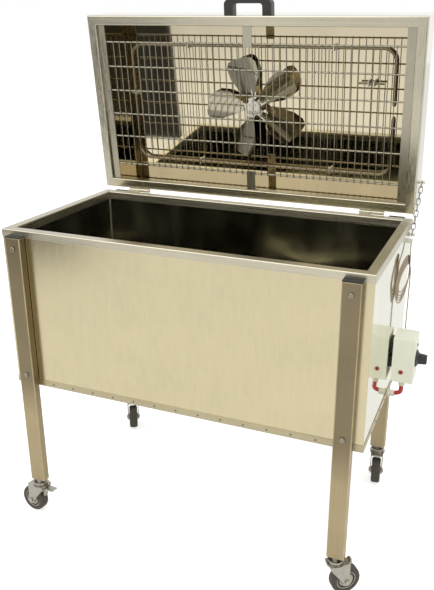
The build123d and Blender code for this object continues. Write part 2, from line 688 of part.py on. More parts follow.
blade_turns = (177.0, 107.0, 37.0, -37.0, -107.0)
with BuildPart() as fan_hub:
    with Locations(lid_at(fan_at - 8)):
        with Locations((0, lid_mid, 0)):
            Cylinder(hub_r, hub_h, align=DOWN)
            Cylinder(shaft_r + 0.02, 3 * hub_h, mode=Mode.SUBTRACT)
            with PolarLocations(12.5, 4, 45):
                Cylinder(2.5, 8, mode=Mode.SUBTRACT)
    with BuildSketch(lid_at(fan_at)):
        with Locations((0, lid_mid)):
            for turn in blade_turns:
                with Locations(Rot(0, 0, turn)):
                    with Locations((hub_r + 14, 0)):
                        Rectangle(arm_l, arm_w)
    extrude(amount=-2.5)
    with Locations(lid_at(fan_at - 9)):
        with Locations((0, lid_mid, 0)):
            Cylinder(shaft_r, lid_depth + motor_l - 6 - fan_at + 9, align=DOWN)
keep(fan_hub, "fan_hub")

blades = []
for turn in blade_turns:
    c, s = math.cos(math.radians(turn)), math.sin(math.radians(turn))
    out = Vector(c, 0, 0) + lid_up * s
    across = lid_back * -1
    around = across.cross(out)
    pitch = math.radians(24)
    chord = around * math.cos(pitch) + across * math.sin(pitch)
    root = lid_point(0, lid_mid, fan_at - 1.25)
    with BuildPart() as blade:
        with BuildSketch(Plane(root + out * (hub_r + 8), chord, out)):
            with BuildLine():
                a = ThreePointArc((-44, -7), (0, 0), (44, -7))
                b = ThreePointArc((44, -5.5), (0, 1.5), (-44, -5.5))
                Line(a @ 1, b @ 0)
                Line(b @ 1, a @ 0)
            make_face()
        extrude(amount=fan_r - hub_r - 8)
        with BuildSketch(lid_at(fan_at - 60)):
            with Locations((0, lid_mid)):
                Circle(fan_r + 60)
                with Locations(Rot(0, 0, turn)):
                    Polygon((hub_r + 8.5, 11), (60, 24), (96, 38), (128, 40), (fan_r - 3, 32), (fan_r, 20),
                            (fan_r, -14), (fan_r - 8, -30), (120, -40), (84, -36), (56, -20),
                            (hub_r + 8.5, -11), align=None, mode=Mode.SUBTRACT)
        extrude(amount=-120, mode=Mode.SUBTRACT)
        with BuildSketch(lid_at(fan_at + 2.5)):
            with Locations((0, lid_mid)):
                with Locations(Rot(0, 0, turn)):
                    with Locations((hub_r + 14, 0)):
                        Rectangle(arm_l, arm_w)
        extrude(amount=2.5, mode=Mode.SUBTRACT)
    blades.append(blade.part)
with BuildPart() as fan_blades:
    add(blades)
keep(fan_blades, "fan_blades")

# Tubular heater: one loop round the back of the lid, both ends through the back wall on the right
back_in = liner_at - sheet
low_u, high_u, mid_u = heater_low, heater_high, lid_mid
with BuildPart() as heating_element:
    with BuildLine() as loop:
        FilletPolyline(
            lid_point(heater_x, mid_u + 18, lid_depth - 6), lid_point(heater_x, mid_u + 18, heater_at),
            lid_point(heater_x, high_u, heater_at), lid_point(-heater_x, high_u, heater_at),
            lid_point(-heater_x, low_u, heater_at), lid_point(heater_x, low_u, heater_at),
            lid_point(heater_x, mid_u - 18, heater_at), lid_point(heater_x, mid_u - 18, lid_depth - 6),
            radius=[10, 36, 36, 36, 36, 10])
    with BuildSketch(Plane(loop.wire() @ 0, z_dir=loop.wire() % 0)):
        Circle(tube_r)
    sweep()
keep(heating_element, "heating_element")

clip_h = back_in - heater_at + tube_r + 3
clips = [(-0.215 * chest_w, high_u, 0), (0.235 * chest_w, high_u, 0), (-heater_x, mid_u + 25, 90),
         (-0.195 * chest_w, low_u, 0), (0.23 * chest_w, low_u, 0)]
bulb_x = heater_x - 64
bulb_u = chest_d * 0.65
bulb_r = 2.8
with BuildPart() as element_clips:
    for x, u, turn in clips:
        with Locations(lid_at(back_in)):
            with Locations(Location((x, u, 0), (0, 0, turn))):
                Box(3, 4 * tube_r, clip_h, align=UP)
                Box(16, 4 * tube_r, 1.5, align=UP)
                with Locations((0, 0, back_in - heater_at)):
                    Cylinder(tube_r + 0.05, 40, rotation=(0, 90, 0), mode=Mode.SUBTRACT)
    with Locations(lid_at(back_in)):
        with Locations((bulb_x - 8, bulb_u, 0), (bulb_x + 8, bulb_u, 0)):
            Box(3, 16, 27, align=UP)
            with Locations((0, 0, 20)):
                Cylinder(bulb_r + 0.05, 10, rotation=(0, 90, 0), mode=Mode.SUBTRACT)
keep(element_clips, "element_clips")

with BuildPart() as sensor_bulb:
    with Locations(lid_at(back_in - 20)):
        with Locations((bulb_x, bulb_u, 0)):
            Cylinder(bulb_r, 72, rotation=(0, 90, 0))
        with Locations((bulb_x, bulb_u, 0)):
            Cylinder(2, 34, align=DOWN)
keep(sensor_bulb, "sensor_bulb")

# Guard over the fan and heater: two side rails, welded rods and wires, two straps
lip_x = half_w - rim_w
rail_u0, rail_u1 = rim_w + 1, chest_d - rim_w - 1
rods = [chest_d * f for f in (0.148, 0.318, 0.452, 0.587, 0.722, 0.857)]
rod_at = guard_at + 2 + rod_r
wire_at = rod_at - rod_r - wire_r - 0.02
wires = [(i - (wire_count - 1) / 2) * wire_pitch for i in range(wire_count)]
with BuildPart() as guard_grille:
    with Locations(lid_at(rod_at)):
        with Locations(*[(0, u, 0) for u in rods]):
            Cylinder(rod_r, 2 * (lip_x - 6), rotation=(0, 90, 0))
    with Locations(lid_at(wire_at)):
        with Locations(*[(x, (rods[0] + rods[-1]) / 2, 0) for x in wires]):
            Cylinder(wire_r, rods[-1] - rods[0] + 6, rotation=(90, 0, 0))
keep(guard_grille, "guard_grille")

strap_x = 8.0
strap_at = wire_at - wire_r - 2.1
with BuildPart() as guard_rails:
    for sx in (-1, 1):
        with BuildSketch(lid_at(guard_at)):
            with Locations((sx * (lip_x - rail_w / 2), lid_mid)):
                Rectangle(rail_w, rail_u1 - rail_u0)
        extrude(amount=-2)
        with BuildSketch(lid_at(guard_at)):
            with Locations((sx * (lip_x - 1), lid_mid)):
                Rectangle(2, rail_u1 - rail_u0)
        extrude(amount=-15)
    for u0, u1, edge in ((chest_d - rim_w, rods[-1] - 8, -1), (rim_w, rods[0] + 8, 1)):
        with BuildSketch(lid_at(strap_at)):
            with Locations((strap_x, (u0 + u1) / 2)):
                Rectangle(26, abs(u1 - u0))
        extrude(amount=-2)
        with BuildSketch(lid_at(strap_at)):
            with Locations((strap_x, u0 + edge)):
                Rectangle(26, 2)
        extrude(amount=-16)
keep(guard_rails, "guard_rails")

# Control box on the right side
with BuildPart() as box_blocks:
    for z in block_z:
        with Locations((skin_x, box_y, z)):
            Box(box_x0 - skin_x, block_w, block_h, align=(Align.MIN, Align.CENTER, Align.CENTER))
        for s in (-1, 1):
            with Locations(Plane((box_x0, box_y + s * screw_y, z), (0, 1, 0), (1, 0, 0))):
                Cylinder(screw_r + 0.05, 30, mode=Mode.SUBTRACT)
keep(box_blocks, "box_blocks")

with BuildPart() as control_box:
    with Locations((box_x0, box_y, box_zc)):
        Box(box_base, box_w, box_h, align=(Align.MIN, Align.CENTER, Align.CENTER))
    fillet(control_box.edges().filter_by(Axis.X), 3)
    with Locations((box_x0 + box_wall, box_y, box_zc)):
        Box(box_base, box_w - 2 * box_wall, box_h - 2 * box_wall, align=(Align.MIN, Align.CENTER, Align.CENTER),
            mode=Mode.SUBTRACT)
    for z in block_z:
        for s in (-1, 1):
            with Locations(Plane((box_x0, box_y + s * screw_y, z), (0, 1, 0), (1, 0, 0))):
                Cylinder(screw_r + 0.05, 10, mode=Mode.SUBTRACT)
    with Locations((gland_x, gland_y, box_z0)):
        Cylinder(8.05, 10, mode=Mode.SUBTRACT)
    with Locations(Plane((foot_x, box_y + box_w / 2, foot_z), (1, 0, 0), (0, 1, 0))):
        Cylinder(cable_r + 1.45, 10, mode=Mode.SUBTRACT)
    with Locations(Plane((box_x0 + 26, box_y - box_w / 2, box_z0 + 32), (1, 0, 0), (0, -1, 0))):
        Cylinder(4.05, 10, mode=Mode.SUBTRACT)
keep(control_box, "control_box")

with BuildPart() as control_cover:
    with Locations((box_x1, box_y, box_zc)):
        Box(box_cover, box_w, box_h, align=(Align.MIN, Align.CENTER, Align.CENTER))
    fillet(control_cover.edges().filter_by(Axis.X), 3)
    fillet(control_cover.faces().sort_by(Axis.X)[-1].edges(), 1.2)
    with Locations((box_x1, box_y, box_zc)):
        Box(box_cover - box_wall, box_w - 2 * box_wall, box_h - 2 * box_wall,
            align=(Align.MIN, Align.CENTER, Align.CENTER), mode=Mode.SUBTRACT)
    with Locations(Plane((box_x2, box_y, knob_z), (0, 1, 0), (1, 0, 0))):
        Cylinder(4.05, 10, mode=Mode.SUBTRACT)
    with Locations(Plane((box_x2, box_y + 10, box_z1 - 31), (0, 1, 0), (1, 0, 0))):
        Cylinder(3.05, 10, mode=Mode.SUBTRACT)
keep(control_cover, "control_cover")

with BuildPart() as thermostat:
    with Locations((box_x2 - box_wall, box_y, knob_z)):
        Box(24, 38, 46, align=(Align.MAX, Align.CENTER, Align.CENTER))
    with Locations(Plane((box_x2 - box_wall, box_y, knob_z), (0, 1, 0), (1, 0, 0))):
        Cylinder(4, 2, align=UP)
        Cylinder(3 + run_gap, 40, mode=Mode.SUBTRACT)
keep(thermostat, "thermostat")

with BuildPart() as thermostat_knob:
    with BuildSketch(Plane((0, box_y, knob_z), (1, 0, 0), (0, -1, 0))):
        x = box_x2 + 0.6
        with BuildLine():
            Polyline((x, 0), (x, knob_r), (x + 2, knob_r), (x + 8, 15.5), (x + 28, 13.5), (x + 29, 12.5),
                     (x + 29, 0), close=True)
        make_face()
    revolve(axis=Axis((0, box_y, knob_z), (1, 0, 0)))
    for k in (-1, 1):
        with Locations((x + 8, box_y + k * 7, knob_z)):
            Box(30, 20, 60, align=(Align.MIN, Align.MIN if k > 0 else Align.MAX, Align.CENTER), mode=Mode.SUBTRACT)
    with Locations(Plane((x + 1, box_y, knob_z), (0, 1, 0), (1, 0, 0))):
        Cylinder(3, 20, align=DOWN)
keep(thermostat_knob, "thermostat_knob")

with BuildPart() as indicator_lamps:
    with BuildSketch(Plane((box_x0 + 26, box_y - box_w / 2, box_z0 + 32), (1, 0, 0), (0, -1, 0))):
        RegularPolygon(6.4, 6)
    extrude(amount=2)
    with Locations(Plane((box_x0 + 26, box_y - box_w / 2, box_z0 + 32), (1, 0, 0), (0, -1, 0))):
        Cylinder(4.4, 4.5, align=UP)
        Cylinder(4, 14, align=DOWN)
    with Locations(Plane((box_x2, box_y + 10, box_z1 - 31), (0, 1, 0), (1, 0, 0))):
        Cylinder(4, 2.5, align=UP)
        Cylinder(3, 8, align=DOWN)
keep(indicator_lamps, "indicator_lamps")

dome = 7.5
with BuildPart() as cable_glands:
    with BuildSketch(level(box_z0)):
        with Locations((gland_x, gland_y)):
            RegularPolygon(10.5, 6)
    extrude(amount=-4)
    with Locations((gland_x, gland_y, box_z0)):
        Cylinder(8, box_wall + 5, align=UP)
        Cylinder(8.5, 4 + dome, align=DOWN)
        Cylinder(lead_r + 0.05, 60, mode=Mode.SUBTRACT)
    with BuildSketch(Plane((half_w, port_y, gland_z), (0, 1, 0), (1, 0, 0))):
        RegularPolygon(10.5, 6)
    extrude(amount=6)
    with Locations(Plane((half_w, port_y, gland_z), (0, 1, 0), (1, 0, 0))):
        Cylinder(7, 2 * sheet + 6, align=DOWN)
        Cylinder(8.5, port_len, align=UP)
        Cylinder(lead_r + 0.05, 60, mode=Mode.SUBTRACT)
keep(cable_glands, "cable_glands")

lead_top = box_z0 + box_wall + 3
lead_out = box_z0 - 4 - dome - 5
with BuildPart() as heater_lead:
    with BuildLine() as run:
        FilletPolyline((gland_x, gland_y, lead_top), (gland_x, gland_y, lead_out), (gland_x, port_y, gland_z),
                       (half_w - 2 * sheet - 4, port_y, gland_z),
                       radius=[1.5 * lead_r, min(lead_bend, gland_x - half_w - port_len - 0.5)])
    with BuildSketch(Plane(run.wire() @ 0, z_dir=run.wire() % 0)):
        Circle(lead_r)
    sweep()
keep(heater_lead, "heater_lead")

# Check chain: two swinging lengths between a stud on the chest and a stud on the lid
with BuildPart() as chest_screws:
    with Locations(Plane((skin_x, stud_y, stud_z), (0, 1, 0), (1, 0, 0))):
        Cylinder(stud_r, chain_x + 7 - skin_x, align=UP)
        Cylinder(stud_r, 7, align=DOWN)
        Cylinder(5.5, 3.5, align=UP)
    with Locations(Plane((chain_x + 4.5, stud_y, stud_z), (0, 1, 0), (1, 0, 0))):
        Cylinder(5.5, 3, align=UP)
    for z in block_z:
        for k in (-1, 1):
            with Locations(Plane((box_x0 + box_wall, box_y + k * screw_y, z), (0, 1, 0), (1, 0, 0))):
                Cylinder(4, 3, align=UP)
                Cylinder(screw_r, box_wall + box_x0 - skin_x + 6, align=DOWN)
keep(chest_screws, "chest_screws")

top_stud = lid_point(0, lid_stud_u, lid_stud_d)
with BuildPart() as lid_screws:
    with Locations(Plane((skin_x, top_stud.Y, top_stud.Z), (0, 1, 0), (1, 0, 0))):
        Cylinder(stud_r, chain_x + 7 - skin_x, align=UP)
        Cylinder(stud_r, 7, align=DOWN)
        Cylinder(5.5, 3.5, align=UP)
    with Locations(Plane((chain_x + 4.5, top_stud.Y, top_stud.Z), (0, 1, 0), (1, 0, 0))):
        Cylinder(5.5, 3, align=UP)
    for sx in (-1, 1):
        with Locations(Plane(lid_point(sx * handle_in, wall_u - sheet, handle_at), (1, 0, 0), lid_up)):
            Cylinder(3, 16, align=UP)
            Cylinder(6, 4, align=DOWN)
keep(lid_screws, "lid_screws")

low_end = Vector(chain_x, stud_y, stud_z)
high_end = Vector(chain_x, top_stud.Y, top_stud.Z)
chain_len = (high_end - low_end).length
along = (high_end - low_end).normalized()
flat = Vector(1, 0, 0)
edge_on = flat.cross(along)
seat = stud_r + play
low_in = (hook_reach - hook_in + seat + 2 * play) / 2
high_n = 6
high_in = (chain_len + seat - hook_reach + play + play * high_n) / high_n


wire_c = link_wire + 0.25
lower_links = [(-seat, low_in, link_half, edge_on, link_wire),
               (low_in - seat - play, low_in, link_half, flat, link_wire),
               (hook_reach - hook_in, hook_in, hook_half, edge_on, wire_c)]
upper_links = [(hook_reach - play + i * (high_in - play), high_in, link_half, flat if i % 2 == 0 else edge_on,
                link_wire) for i in range(high_n)]
for name, links in (("chain_lower", lower_links), ("chain_upper", upper_links)):
    with BuildPart() as chain:
        for start, inner, r, across, wire in links:
            place = Plane(low_end + along * (start + inner / 2), along, along.cross(across))
            h = inner / 2 + wire - r
            with BuildLine(place) as ring:
                Line((-h, -r), (h, -r))
                ThreePointArc((h, -r), (h + r, 0), (h, r))
                Line((h, r), (-h, r))
                ThreePointArc((-h, r), (-h - r, 0), (-h, -r))
            with BuildSketch(Plane(ring.wire() @ 0, z_dir=ring.wire() % 0)):
                Circle(wire)
            sweep(path=ring.wire())
    keep(chain, name)

# Sensor lead: down from its boot, five loose loops laid on the panel, and on down to the box
with BuildPart() as lead_boots:
    with Locations((skin_x, stud_y, boot_z)):
        Box(12.5, 8, 12, align=(Align.MIN, Align.CENTER, Align.CENTER))
    fillet(lead_boots.edges().filter_by(Axis.X), 2)
    with Locations(Plane((skin_x, stud_y, boot_z), (0, 1, 0), (1, 0, 0))):
        Cylinder(3, 6, align=DOWN)
    with Locations(Plane((foot_x, box_y + box_w / 2, foot_z), (1, 0, 0), (0, 1, 0))):
        Cylinder(5, 6, align=UP)
        Cylinder(cable_r + 1.4, 6, align=DOWN)
keep(lead_boots, "lead_boots")

loop_n = 5
step_r = 3.6
step_n = 0.8
step_up = 5.2
end_n = 6.9
drops = (66.0, 76.0, 83.0, 90.0, 98.0)
turn_out = math.radians(3.5)
wide = Vector(math.sin(turn_out), math.cos(turn_out), 0)
off = Vector(math.cos(turn_out), -math.sin(turn_out), 0)
falling = Vector(0, 0, -1)
left_foot = Vector(half_w + 4.6, 21.0, rim_z - 87.0)


def coil_at(q, n, z):
    return left_foot + wide * q + off * n + Vector(0, 0, z)


nodes = []
for k in range(loop_n):
    j = loop_n - 1 - k
    n = step_n * k
    nodes.append((coil_at(137 + step_r * j, n, -40), falling))
    nodes.append((coil_at(66 - 2 * j, n + 0.25 * step_n, -drops[j]), wide * -1))
    nodes.append((coil_at(-step_r * j, n + 0.5 * step_n, j - 34), falling * -1))
    nodes.append((coil_at(97, n + 0.75 * step_n, step_up * j), wide))
nodes.append((coil_at(137 - step_r, end_n, -39), falling))
first = nodes[0][0]
last = nodes[-1][0]


def biarc(p0, t0, p1, t1):
    """Mid points and join of two tangent arcs from one end and heading to the next."""
    v = p1 - p0
    t = t0 + t1
    a = 2 * (1 - t0.dot(t1))
    d = (-v.dot(t) + math.sqrt(v.dot(t) ** 2 + a * v.dot(v))) / a
    q0 = p0 + t0 * d
    q1 = p1 - t1 * d
    join = (q0 + q1) * 0.5
    mids = []
    for start, q, stop in ((p0, q0, join), (join, q1, p1)):
        chord = stop - start
        half_turn = (q - start).get_angle(chord)
        bulge = chord.length / 2 * math.tan(math.radians(half_turn) / 2)
        mids.append((start + stop) * 0.5 + (q - (start + stop) * 0.5).normalized() * bulge)
    return mids[0], join, mids[1]


tail = 2 * cable_r
spots = []
with BuildPart() as sensor_coil:
    with BuildLine() as winding:
        at = first - falling * tail
        Line(at, first)
        for (p0, t0), (p1, t1) in zip(nodes, nodes[1:]):
            m0, join, m1 = biarc(p0, t0, p1, t1)
            ThreePointArc(p0, m0, join)
            ThreePointArc(join, m1, p1)
        Line(last, last + falling * tail)
    coil_wire = winding.wire()
    with BuildSketch(Plane(at, z_dir=falling)):
        Circle(cable_r)
    sweep(path=coil_wire)
keep(sensor_coil, "sensor_coil")
count = 1200
coil_len = coil_wire.length
spots = [coil_wire.position_at(i / count) for i in range(count + 1)]
skip = int(10 * cable_r / coil_len * count) + 1
cells = {}
for i, p in enumerate(spots):
    cells.setdefault((int(p.X // 12), int(p.Y // 12), int(p.Z // 12)), []).append(i)
least = 99.0
for i, p in enumerate(spots):
    key = (int(p.X // 12), int(p.Y // 12), int(p.Z // 12))
    for dx in (-1, 0, 1):
        for dy in (-1, 0, 1):
            for dz in (-1, 0, 1):
                for j in cells.get((key[0] + dx, key[1] + dy, key[2] + dz), ()):
                    if j > i + skip:
                        least = min(least, (p - spots[j]).length)
print("coil length", round(coil_len), "least gap", round(least - 2 * cable_r, 2),
      "volume ratio", round(sensor_coil.part.volume / (math.pi * cable_r ** 2 * coil_len), 3))


def cable(name, points):
    """A free length of the lead on straight runs joined by wide arcs."""
    radii = []
    for a, b, c in zip(points, points[1:], points[2:]):
        turn = (b - a).get_angle(c - b)
        radii.append(0.45 * min((b - a).length, (c - b).length) / math.tan(math.radians(turn) / 2))
    with BuildPart() as stretch:
        with BuildLine() as route:
            FilletPolyline(*points, radius=radii)
        with BuildSketch(Plane(points[0], z_dir=points[1] - points[0])):
            Circle(cable_r)
        sweep(path=route.wire())
    keep(stretch, name)
    span = route.wire().length
    print(name, "length", round(span), "radii", [round(r) for r in radii],
          "volume ratio", round(stretch.part.volume / (math.pi * cable_r ** 2 * span), 3))


boot_x = half_w + 8.0
cable("sensor_lead_upper", [
    Vector(boot_x, stud_y, boot_z - 6), Vector(boot_x, stud_y, boot_z - 24), at - falling * 18, at])
drop_from = last + falling * tail
cable("sensor_lead_lower", [
    drop_from, Vector(foot_x, drop_from.Y, foot_z), Vector(foot_x, box_y + box_w / 2 + 6, foot_z)])
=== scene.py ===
import math

import bmesh
import bpy
from bpy.props import FloatProperty, FloatVectorProperty, IntProperty, PointerProperty
from mathutils import Matrix, Vector


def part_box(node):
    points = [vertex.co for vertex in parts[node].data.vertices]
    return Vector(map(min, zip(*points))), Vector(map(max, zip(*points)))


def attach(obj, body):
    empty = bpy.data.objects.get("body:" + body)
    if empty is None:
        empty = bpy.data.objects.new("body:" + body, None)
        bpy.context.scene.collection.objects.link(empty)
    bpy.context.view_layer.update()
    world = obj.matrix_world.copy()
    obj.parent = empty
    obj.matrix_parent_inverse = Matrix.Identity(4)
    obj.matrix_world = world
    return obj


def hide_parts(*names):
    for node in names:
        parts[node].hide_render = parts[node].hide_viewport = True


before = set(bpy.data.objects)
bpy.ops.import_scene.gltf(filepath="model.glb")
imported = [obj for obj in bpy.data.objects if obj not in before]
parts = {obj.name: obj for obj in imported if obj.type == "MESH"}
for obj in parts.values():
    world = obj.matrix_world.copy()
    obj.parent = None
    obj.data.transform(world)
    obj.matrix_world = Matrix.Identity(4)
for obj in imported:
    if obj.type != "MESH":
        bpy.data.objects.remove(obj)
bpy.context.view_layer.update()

bl_info = {
    "name": "Wax melter",
    "version": (1, 0, 0),
    "blender": (4, 5, 0),
    "location": "3D View > Sidebar > Melter",
    "description": "Finishes, leads and a studio stage for a wax melter",
    "category": "Object",
}

corners = ("fl", "fr", "rl", "rr")

# Camera: its place in metres, its turn in degrees, and its shift as a share of the picture's height
camera_at = (0.7512, -1.7241, 1.38385)
camera_yaw, camera_pitch, camera_roll = 20.92, 20.11, 0.44
film_wide = 36
picture_high = 590
camera_shift = (-28.0 / picture_high, -9.4 / picture_high)

# Floor, with how far it reaches, and how brightly it and the world show to the eye and in metal
floor_reach, floor_drop = 30, -0.0006
floor_paint = (0.82, 0.82, 0.81, 1)
floor_seen, floor_mirrored = 0.62, 0.3
world_light, world_seen = 0.66, 1.0

# Black cards beside the camera: name, left edge, right edge, distance to the front, height
cards = (("card_left", -2.5, -1.63, -2.3, 1.0), ("card_right", 0.62, 2.4, -2.7, 1.0))
card_black = (0.02, 0.019, 0.016, 1)

# Lamps: name, place, size, power
lamps = (("key", (-2.3, -3.1, 3.9), 3.9, 70), ("fill", (3.2, -1.2, 2.2), 2.4, 22),
         ("top", (0.2, -0.4, 3.6), 2.2, 20))
lamp_aim = Vector((0, 0, 0.8))
lamp_tint = (1.0, 0.985, 0.955)

# Where a grain's values mostly lie, how deep scratches, plating and slow waves go, and how far wipe
# marks dull a mirror
mostly = (0.3, 0.7)
scratch_deep, plate_deep, wave_deep = 0.0004, 0.0003, 0.004
wipe_haze = 0.35

# Mitred frames: axis of the side members, middle, half width and half height of the opening
rim_opening = ("Y", 0.0, 0.473, 0.236)
lid_opening = ("Z", 1.1504, 0.473, 0.2335)

# Legs: painted light below the tank and painted shade beside it, as scales of their colour, the height over
# which one turns into the other, and the bands of painted highlight
leg_lit_below, leg_shaded_beside = 1.4, 0.79
leg_shade_fade = (-0.09, 0.03)
leg_corner_highlight = (0.0034, 0.0012)
leg_top_highlight = (0.0024, 0.0008)

# Ground weld in the lining's corners, and the painted shade in the groove round a wheel's disc
weld_wide = 0.0042
groove_from, groove_to = 0.014, 0.032
shade_wobble = 0.0006

# Rivets: height over the pan's foot, pitch along front and sides, and places along the rim's inner lip
pan_rivet_up = 0.010
front_pitch, side_pitch = 2 * 0.19 / 3, 2 * 0.34 / 3
front_rivets, side_rivets = range(-6, 7), range(-3, 4)
lip_x, lip_y, lip_z = 0.473, 0.236, 0.863
lip_rivets = (-0.92, -0.72, -0.52, -0.32, -0.1, 0.21, 0.4, 0.6, 0.8, 0.94)

# A rivet head's outline, as shares of its radius and heights in metres, and the sides it is turned with
head_outline = ((1.0, -0.0002), (1.0, 0.0004), (0.86, 0.0009), (0.5, 0.0012), (0.14, 0.0013))
head_sides = 12

# Coil of the sensor lead: it hangs in a plane turned a little off the right side of the tank
coil_turn = math.radians(3.5)
coil_wide = Vector((math.sin(coil_turn), math.cos(coil_turn), 0))
coil_off = Vector((math.cos(coil_turn), -math.sin(coil_turn), 0))
coil_foot = Vector((0.5046, 0.021, 0.790))

# Turns, in millimetres from the coil's left shoulder: right side, lowest point, left side and top
turn_right, turn_right_z = 137, -40
turn_low, turn_low_step = 66, 2
turn_drops = (66, 76, 83, 90, 98)
turn_left_z = -34
turn_top = 97
turn_apart = 0.8
lean_low, lean_left, lean_top = 0.2, 0.4, 0.6
turn_end = (6.9, -39)
arc_steps = 4

# The lead's way from its boot into the coil, and from the coil to the control box
boot_mouth = Vector((0.508, 0.204, 0.822))
boot_fall = Vector((0.508, 0.204, 0.804))
coil_lead_in = Vector((0, 0, 0.0212))
box_foot = Vector((0.5195, 0.130, 0.560))
box_bend = 0.024

# Tie round the turns, in millimetres: its middle, its slope, its section and how it widens along
tie_q, tie_z = 117.5, 4.4
tie_run, tie_rise = 0.52, 0.85
tie_section = ((11.4, -1.0), (12.0, 0.9), (11.2, 2.7), (2.0, 4.8), (-7.5, 6.7), (-10.6, 7.0), (-12.0, 5.3),
               (-11.6, 2.6), (-8.6, 1.5), (0.0, -0.2), (9.0, -1.7))
tie_widths = ((-7.6, 0.0), (-6.2, 0.5), (-2.2, 0.2), (2.0, 0.5), (6.4, 0.4), (7.6, 0.0))
tie_inside = 2
tie_thick = 0.0007

# Heater lead, from the box's gland down and into the tank's side
red_route = ((0.535, 0.060, 0.4735), (0.535, 0.060, 0.4515), (0.535, 0.042, 0.436), (0.493, 0.042, 0.436))


def srgb(r, g, b):
    """A colour as a paint chart gives it, from 0 to 255, in the shader's own scale."""
    out = []
    for c in (r, g, b):
        c /= 255
        out.append(c / 12.92 if c <= 0.04045 else ((c + 0.055) / 1.055) ** 2.4)
    return tuple(out)


def paint(label, words, rgb):
    return FloatVectorProperty(name=label, description=words, subtype="COLOR", size=3, min=0, max=1,
                               default=srgb(*rgb))


def length(label, words, metres):
    return FloatProperty(name=label, description=words, default=metres, unit="LENGTH")


class MelterColours(bpy.types.PropertyGroup):
    sheet: paint("Front sheet", "Warm satin steel of the front sheet and the pan", (204, 193, 160))
    polish: paint("Polished sheet", "Mirror-bright steel of the wrap and the lid box", (230, 228, 208))
    channel: paint("Channel", "Ground steel of the rim and the lid frame", (196, 190, 170))
    leg: paint("Legs", "Brushed tube of the legs", (145, 132, 105))
    lining: paint("Tank lining", "Bright steel inside the tank", (212, 209, 193))
    oven: paint("Lid lining", "Bright pan inside the lid", (214, 203, 176))
    zinc: paint("Zinc", "Plated wire, screws and castors", (206, 202, 190))
    heater: paint("Heater", "Heat-stained steel tube", (138, 128, 106))
    blade: paint("Fan", "Pressed fan blades", (132, 126, 110))
    cover: paint("Motor cover", "Galvanised sheet of the motor's cover", (178, 178, 172))
    tyre: paint("Tyres", "Grey rubber", (74, 69, 60))
    nylon: paint("Wheels", "Pale nylon of the wheels", (188, 183, 172))
    # Colour of the painted shade in the wheels' grooves
    groove_shade: paint("Wheel groove shade", "Painted shade in the wheels' grooves", (58, 53, 45))
    box: paint("Control box", "Off-white moulding", (250, 251, 235))
    gland: paint("Glands", "Pale nylon of the glands and boots", (226, 224, 208))
    black: paint("Black plastic", "Handle, knob, plugs and blocks", (42, 40, 37))
    red: paint("Red", "Heater lead and lamps", (176, 36, 22))
    lead: paint("Sensor lead", "Grey-brown sheath", (164, 148, 124))
    tie: paint("Tie", "Brown band round the coil", (104, 66, 36))
    wool: paint("Wool", "Mineral wool in the walls", (196, 178, 128))


class MelterSizes(bpy.types.PropertyGroup):
    lead_d: length("Lead", "Diameter of the sensor lead", 0.0032)
    lead_len: length("Lead length", "Sensor lead from boot to box", 2.26)
    turns: IntProperty(name="Turns", description="Turns in the sensor lead's coil", default=5, min=1, max=24)
    side_step: length("Turn step", "How far each turn stands inside the last", 0.0036)
    top_step: length("Turn fall", "How far each turn's top lies under the last", 0.0052)
    red_d: length("Heater lead", "Diameter of the heater lead", 0.012)
    rivet_d: length("Rivets", "Diameter of the rivet heads", 0.0054)
    lens: FloatProperty(name="Lens", description="Focal length of the camera", default=43.14,
                        subtype="DISTANCE_CAMERA")


def colours():
    return bpy.context.scene.melter_colours


def sizes():
    return bpy.context.scene.melter_sizes


# Finishes

def new_finish(name, metal, rough):
    mat = bpy.data.materials.new(name)
    mat.use_nodes = True
    shader = mat.node_tree.nodes["Principled BSDF"]
    shader.inputs["Metallic"].default_value = metal
    shader.inputs["Roughness"].default_value = rough
    return mat, mat.node_tree, shader


def tint(rgb, by):
    return tuple(min(1.0, c * by) for c in rgb)


def shade(rgb, by=1.0):
    return tint(rgb, by) + (1.0,)


def grain(tree, scale, detail=3.0, uneven=0.55, shift=(0, 0, 0)):
    """Noise over the piece's own coordinates, drawn out where a scale is small."""
    coords = tree.nodes.new("ShaderNodeTexCoord")
    place = tree.nodes.new("ShaderNodeMapping")
    place.inputs["Scale"].default_value = scale
    place.inputs["Location"].default_value = shift
    noise = tree.nodes.new("ShaderNodeTexNoise")
    noise.inputs["Scale"].default_value = 1.0
    noise.inputs["Detail"].default_value = detail
    noise.inputs["Roughness"].default_value = uneven
    tree.links.new(coords.outputs["Object"], place.inputs["Vector"])
    tree.links.new(place.outputs["Vector"], noise.inputs["Vector"])
    return noise.outputs["Fac"]


def maths(tree, operation, a, b=None):
    node = tree.nodes.new("ShaderNodeMath")
    node.operation = operation
    for socket, value in zip(node.inputs, (a, b)):
        if isinstance(value, (int, float)):
            socket.default_value = value
        elif value is not None:
            tree.links.new(value, socket)
    return node.outputs[0]


def span(tree, value, low, high, out_low=0.0, out_high=1.0):
    node = tree.nodes.new("ShaderNodeMapRange")
    for key, number in (("From Min", low), ("From Max", high), ("To Min", out_low), ("To Max", out_high)):
        node.inputs[key].default_value = number
    tree.links.new(value, node.inputs["Value"])
    return node.outputs["Result"]


def tone(tree, value, stops):
    """Colour along a ramp of (place, colour) stops."""
    node = tree.nodes.new("ShaderNodeValToRGB")
    ramp = node.color_ramp
    while len(ramp.elements) < len(stops):
        ramp.elements.new(0.5)
    for element, (place, rgba) in zip(ramp.elements, stops):
        element.position = place
        element.color = rgba
    tree.links.new(value, node.inputs["Fac"])
    return node.outputs["Color"]


def mixed(tree, factor, a, b):
    """Colour a where the factor is 0 and colour b where it is 1."""
    node = tree.nodes.new("ShaderNodeMix")
    node.data_type = "RGBA"
    tree.links.new(factor, node.inputs["Factor"])
    tree.links.new(a, node.inputs[6])
    tree.links.new(b, node.inputs[7])
    return node.outputs[2]


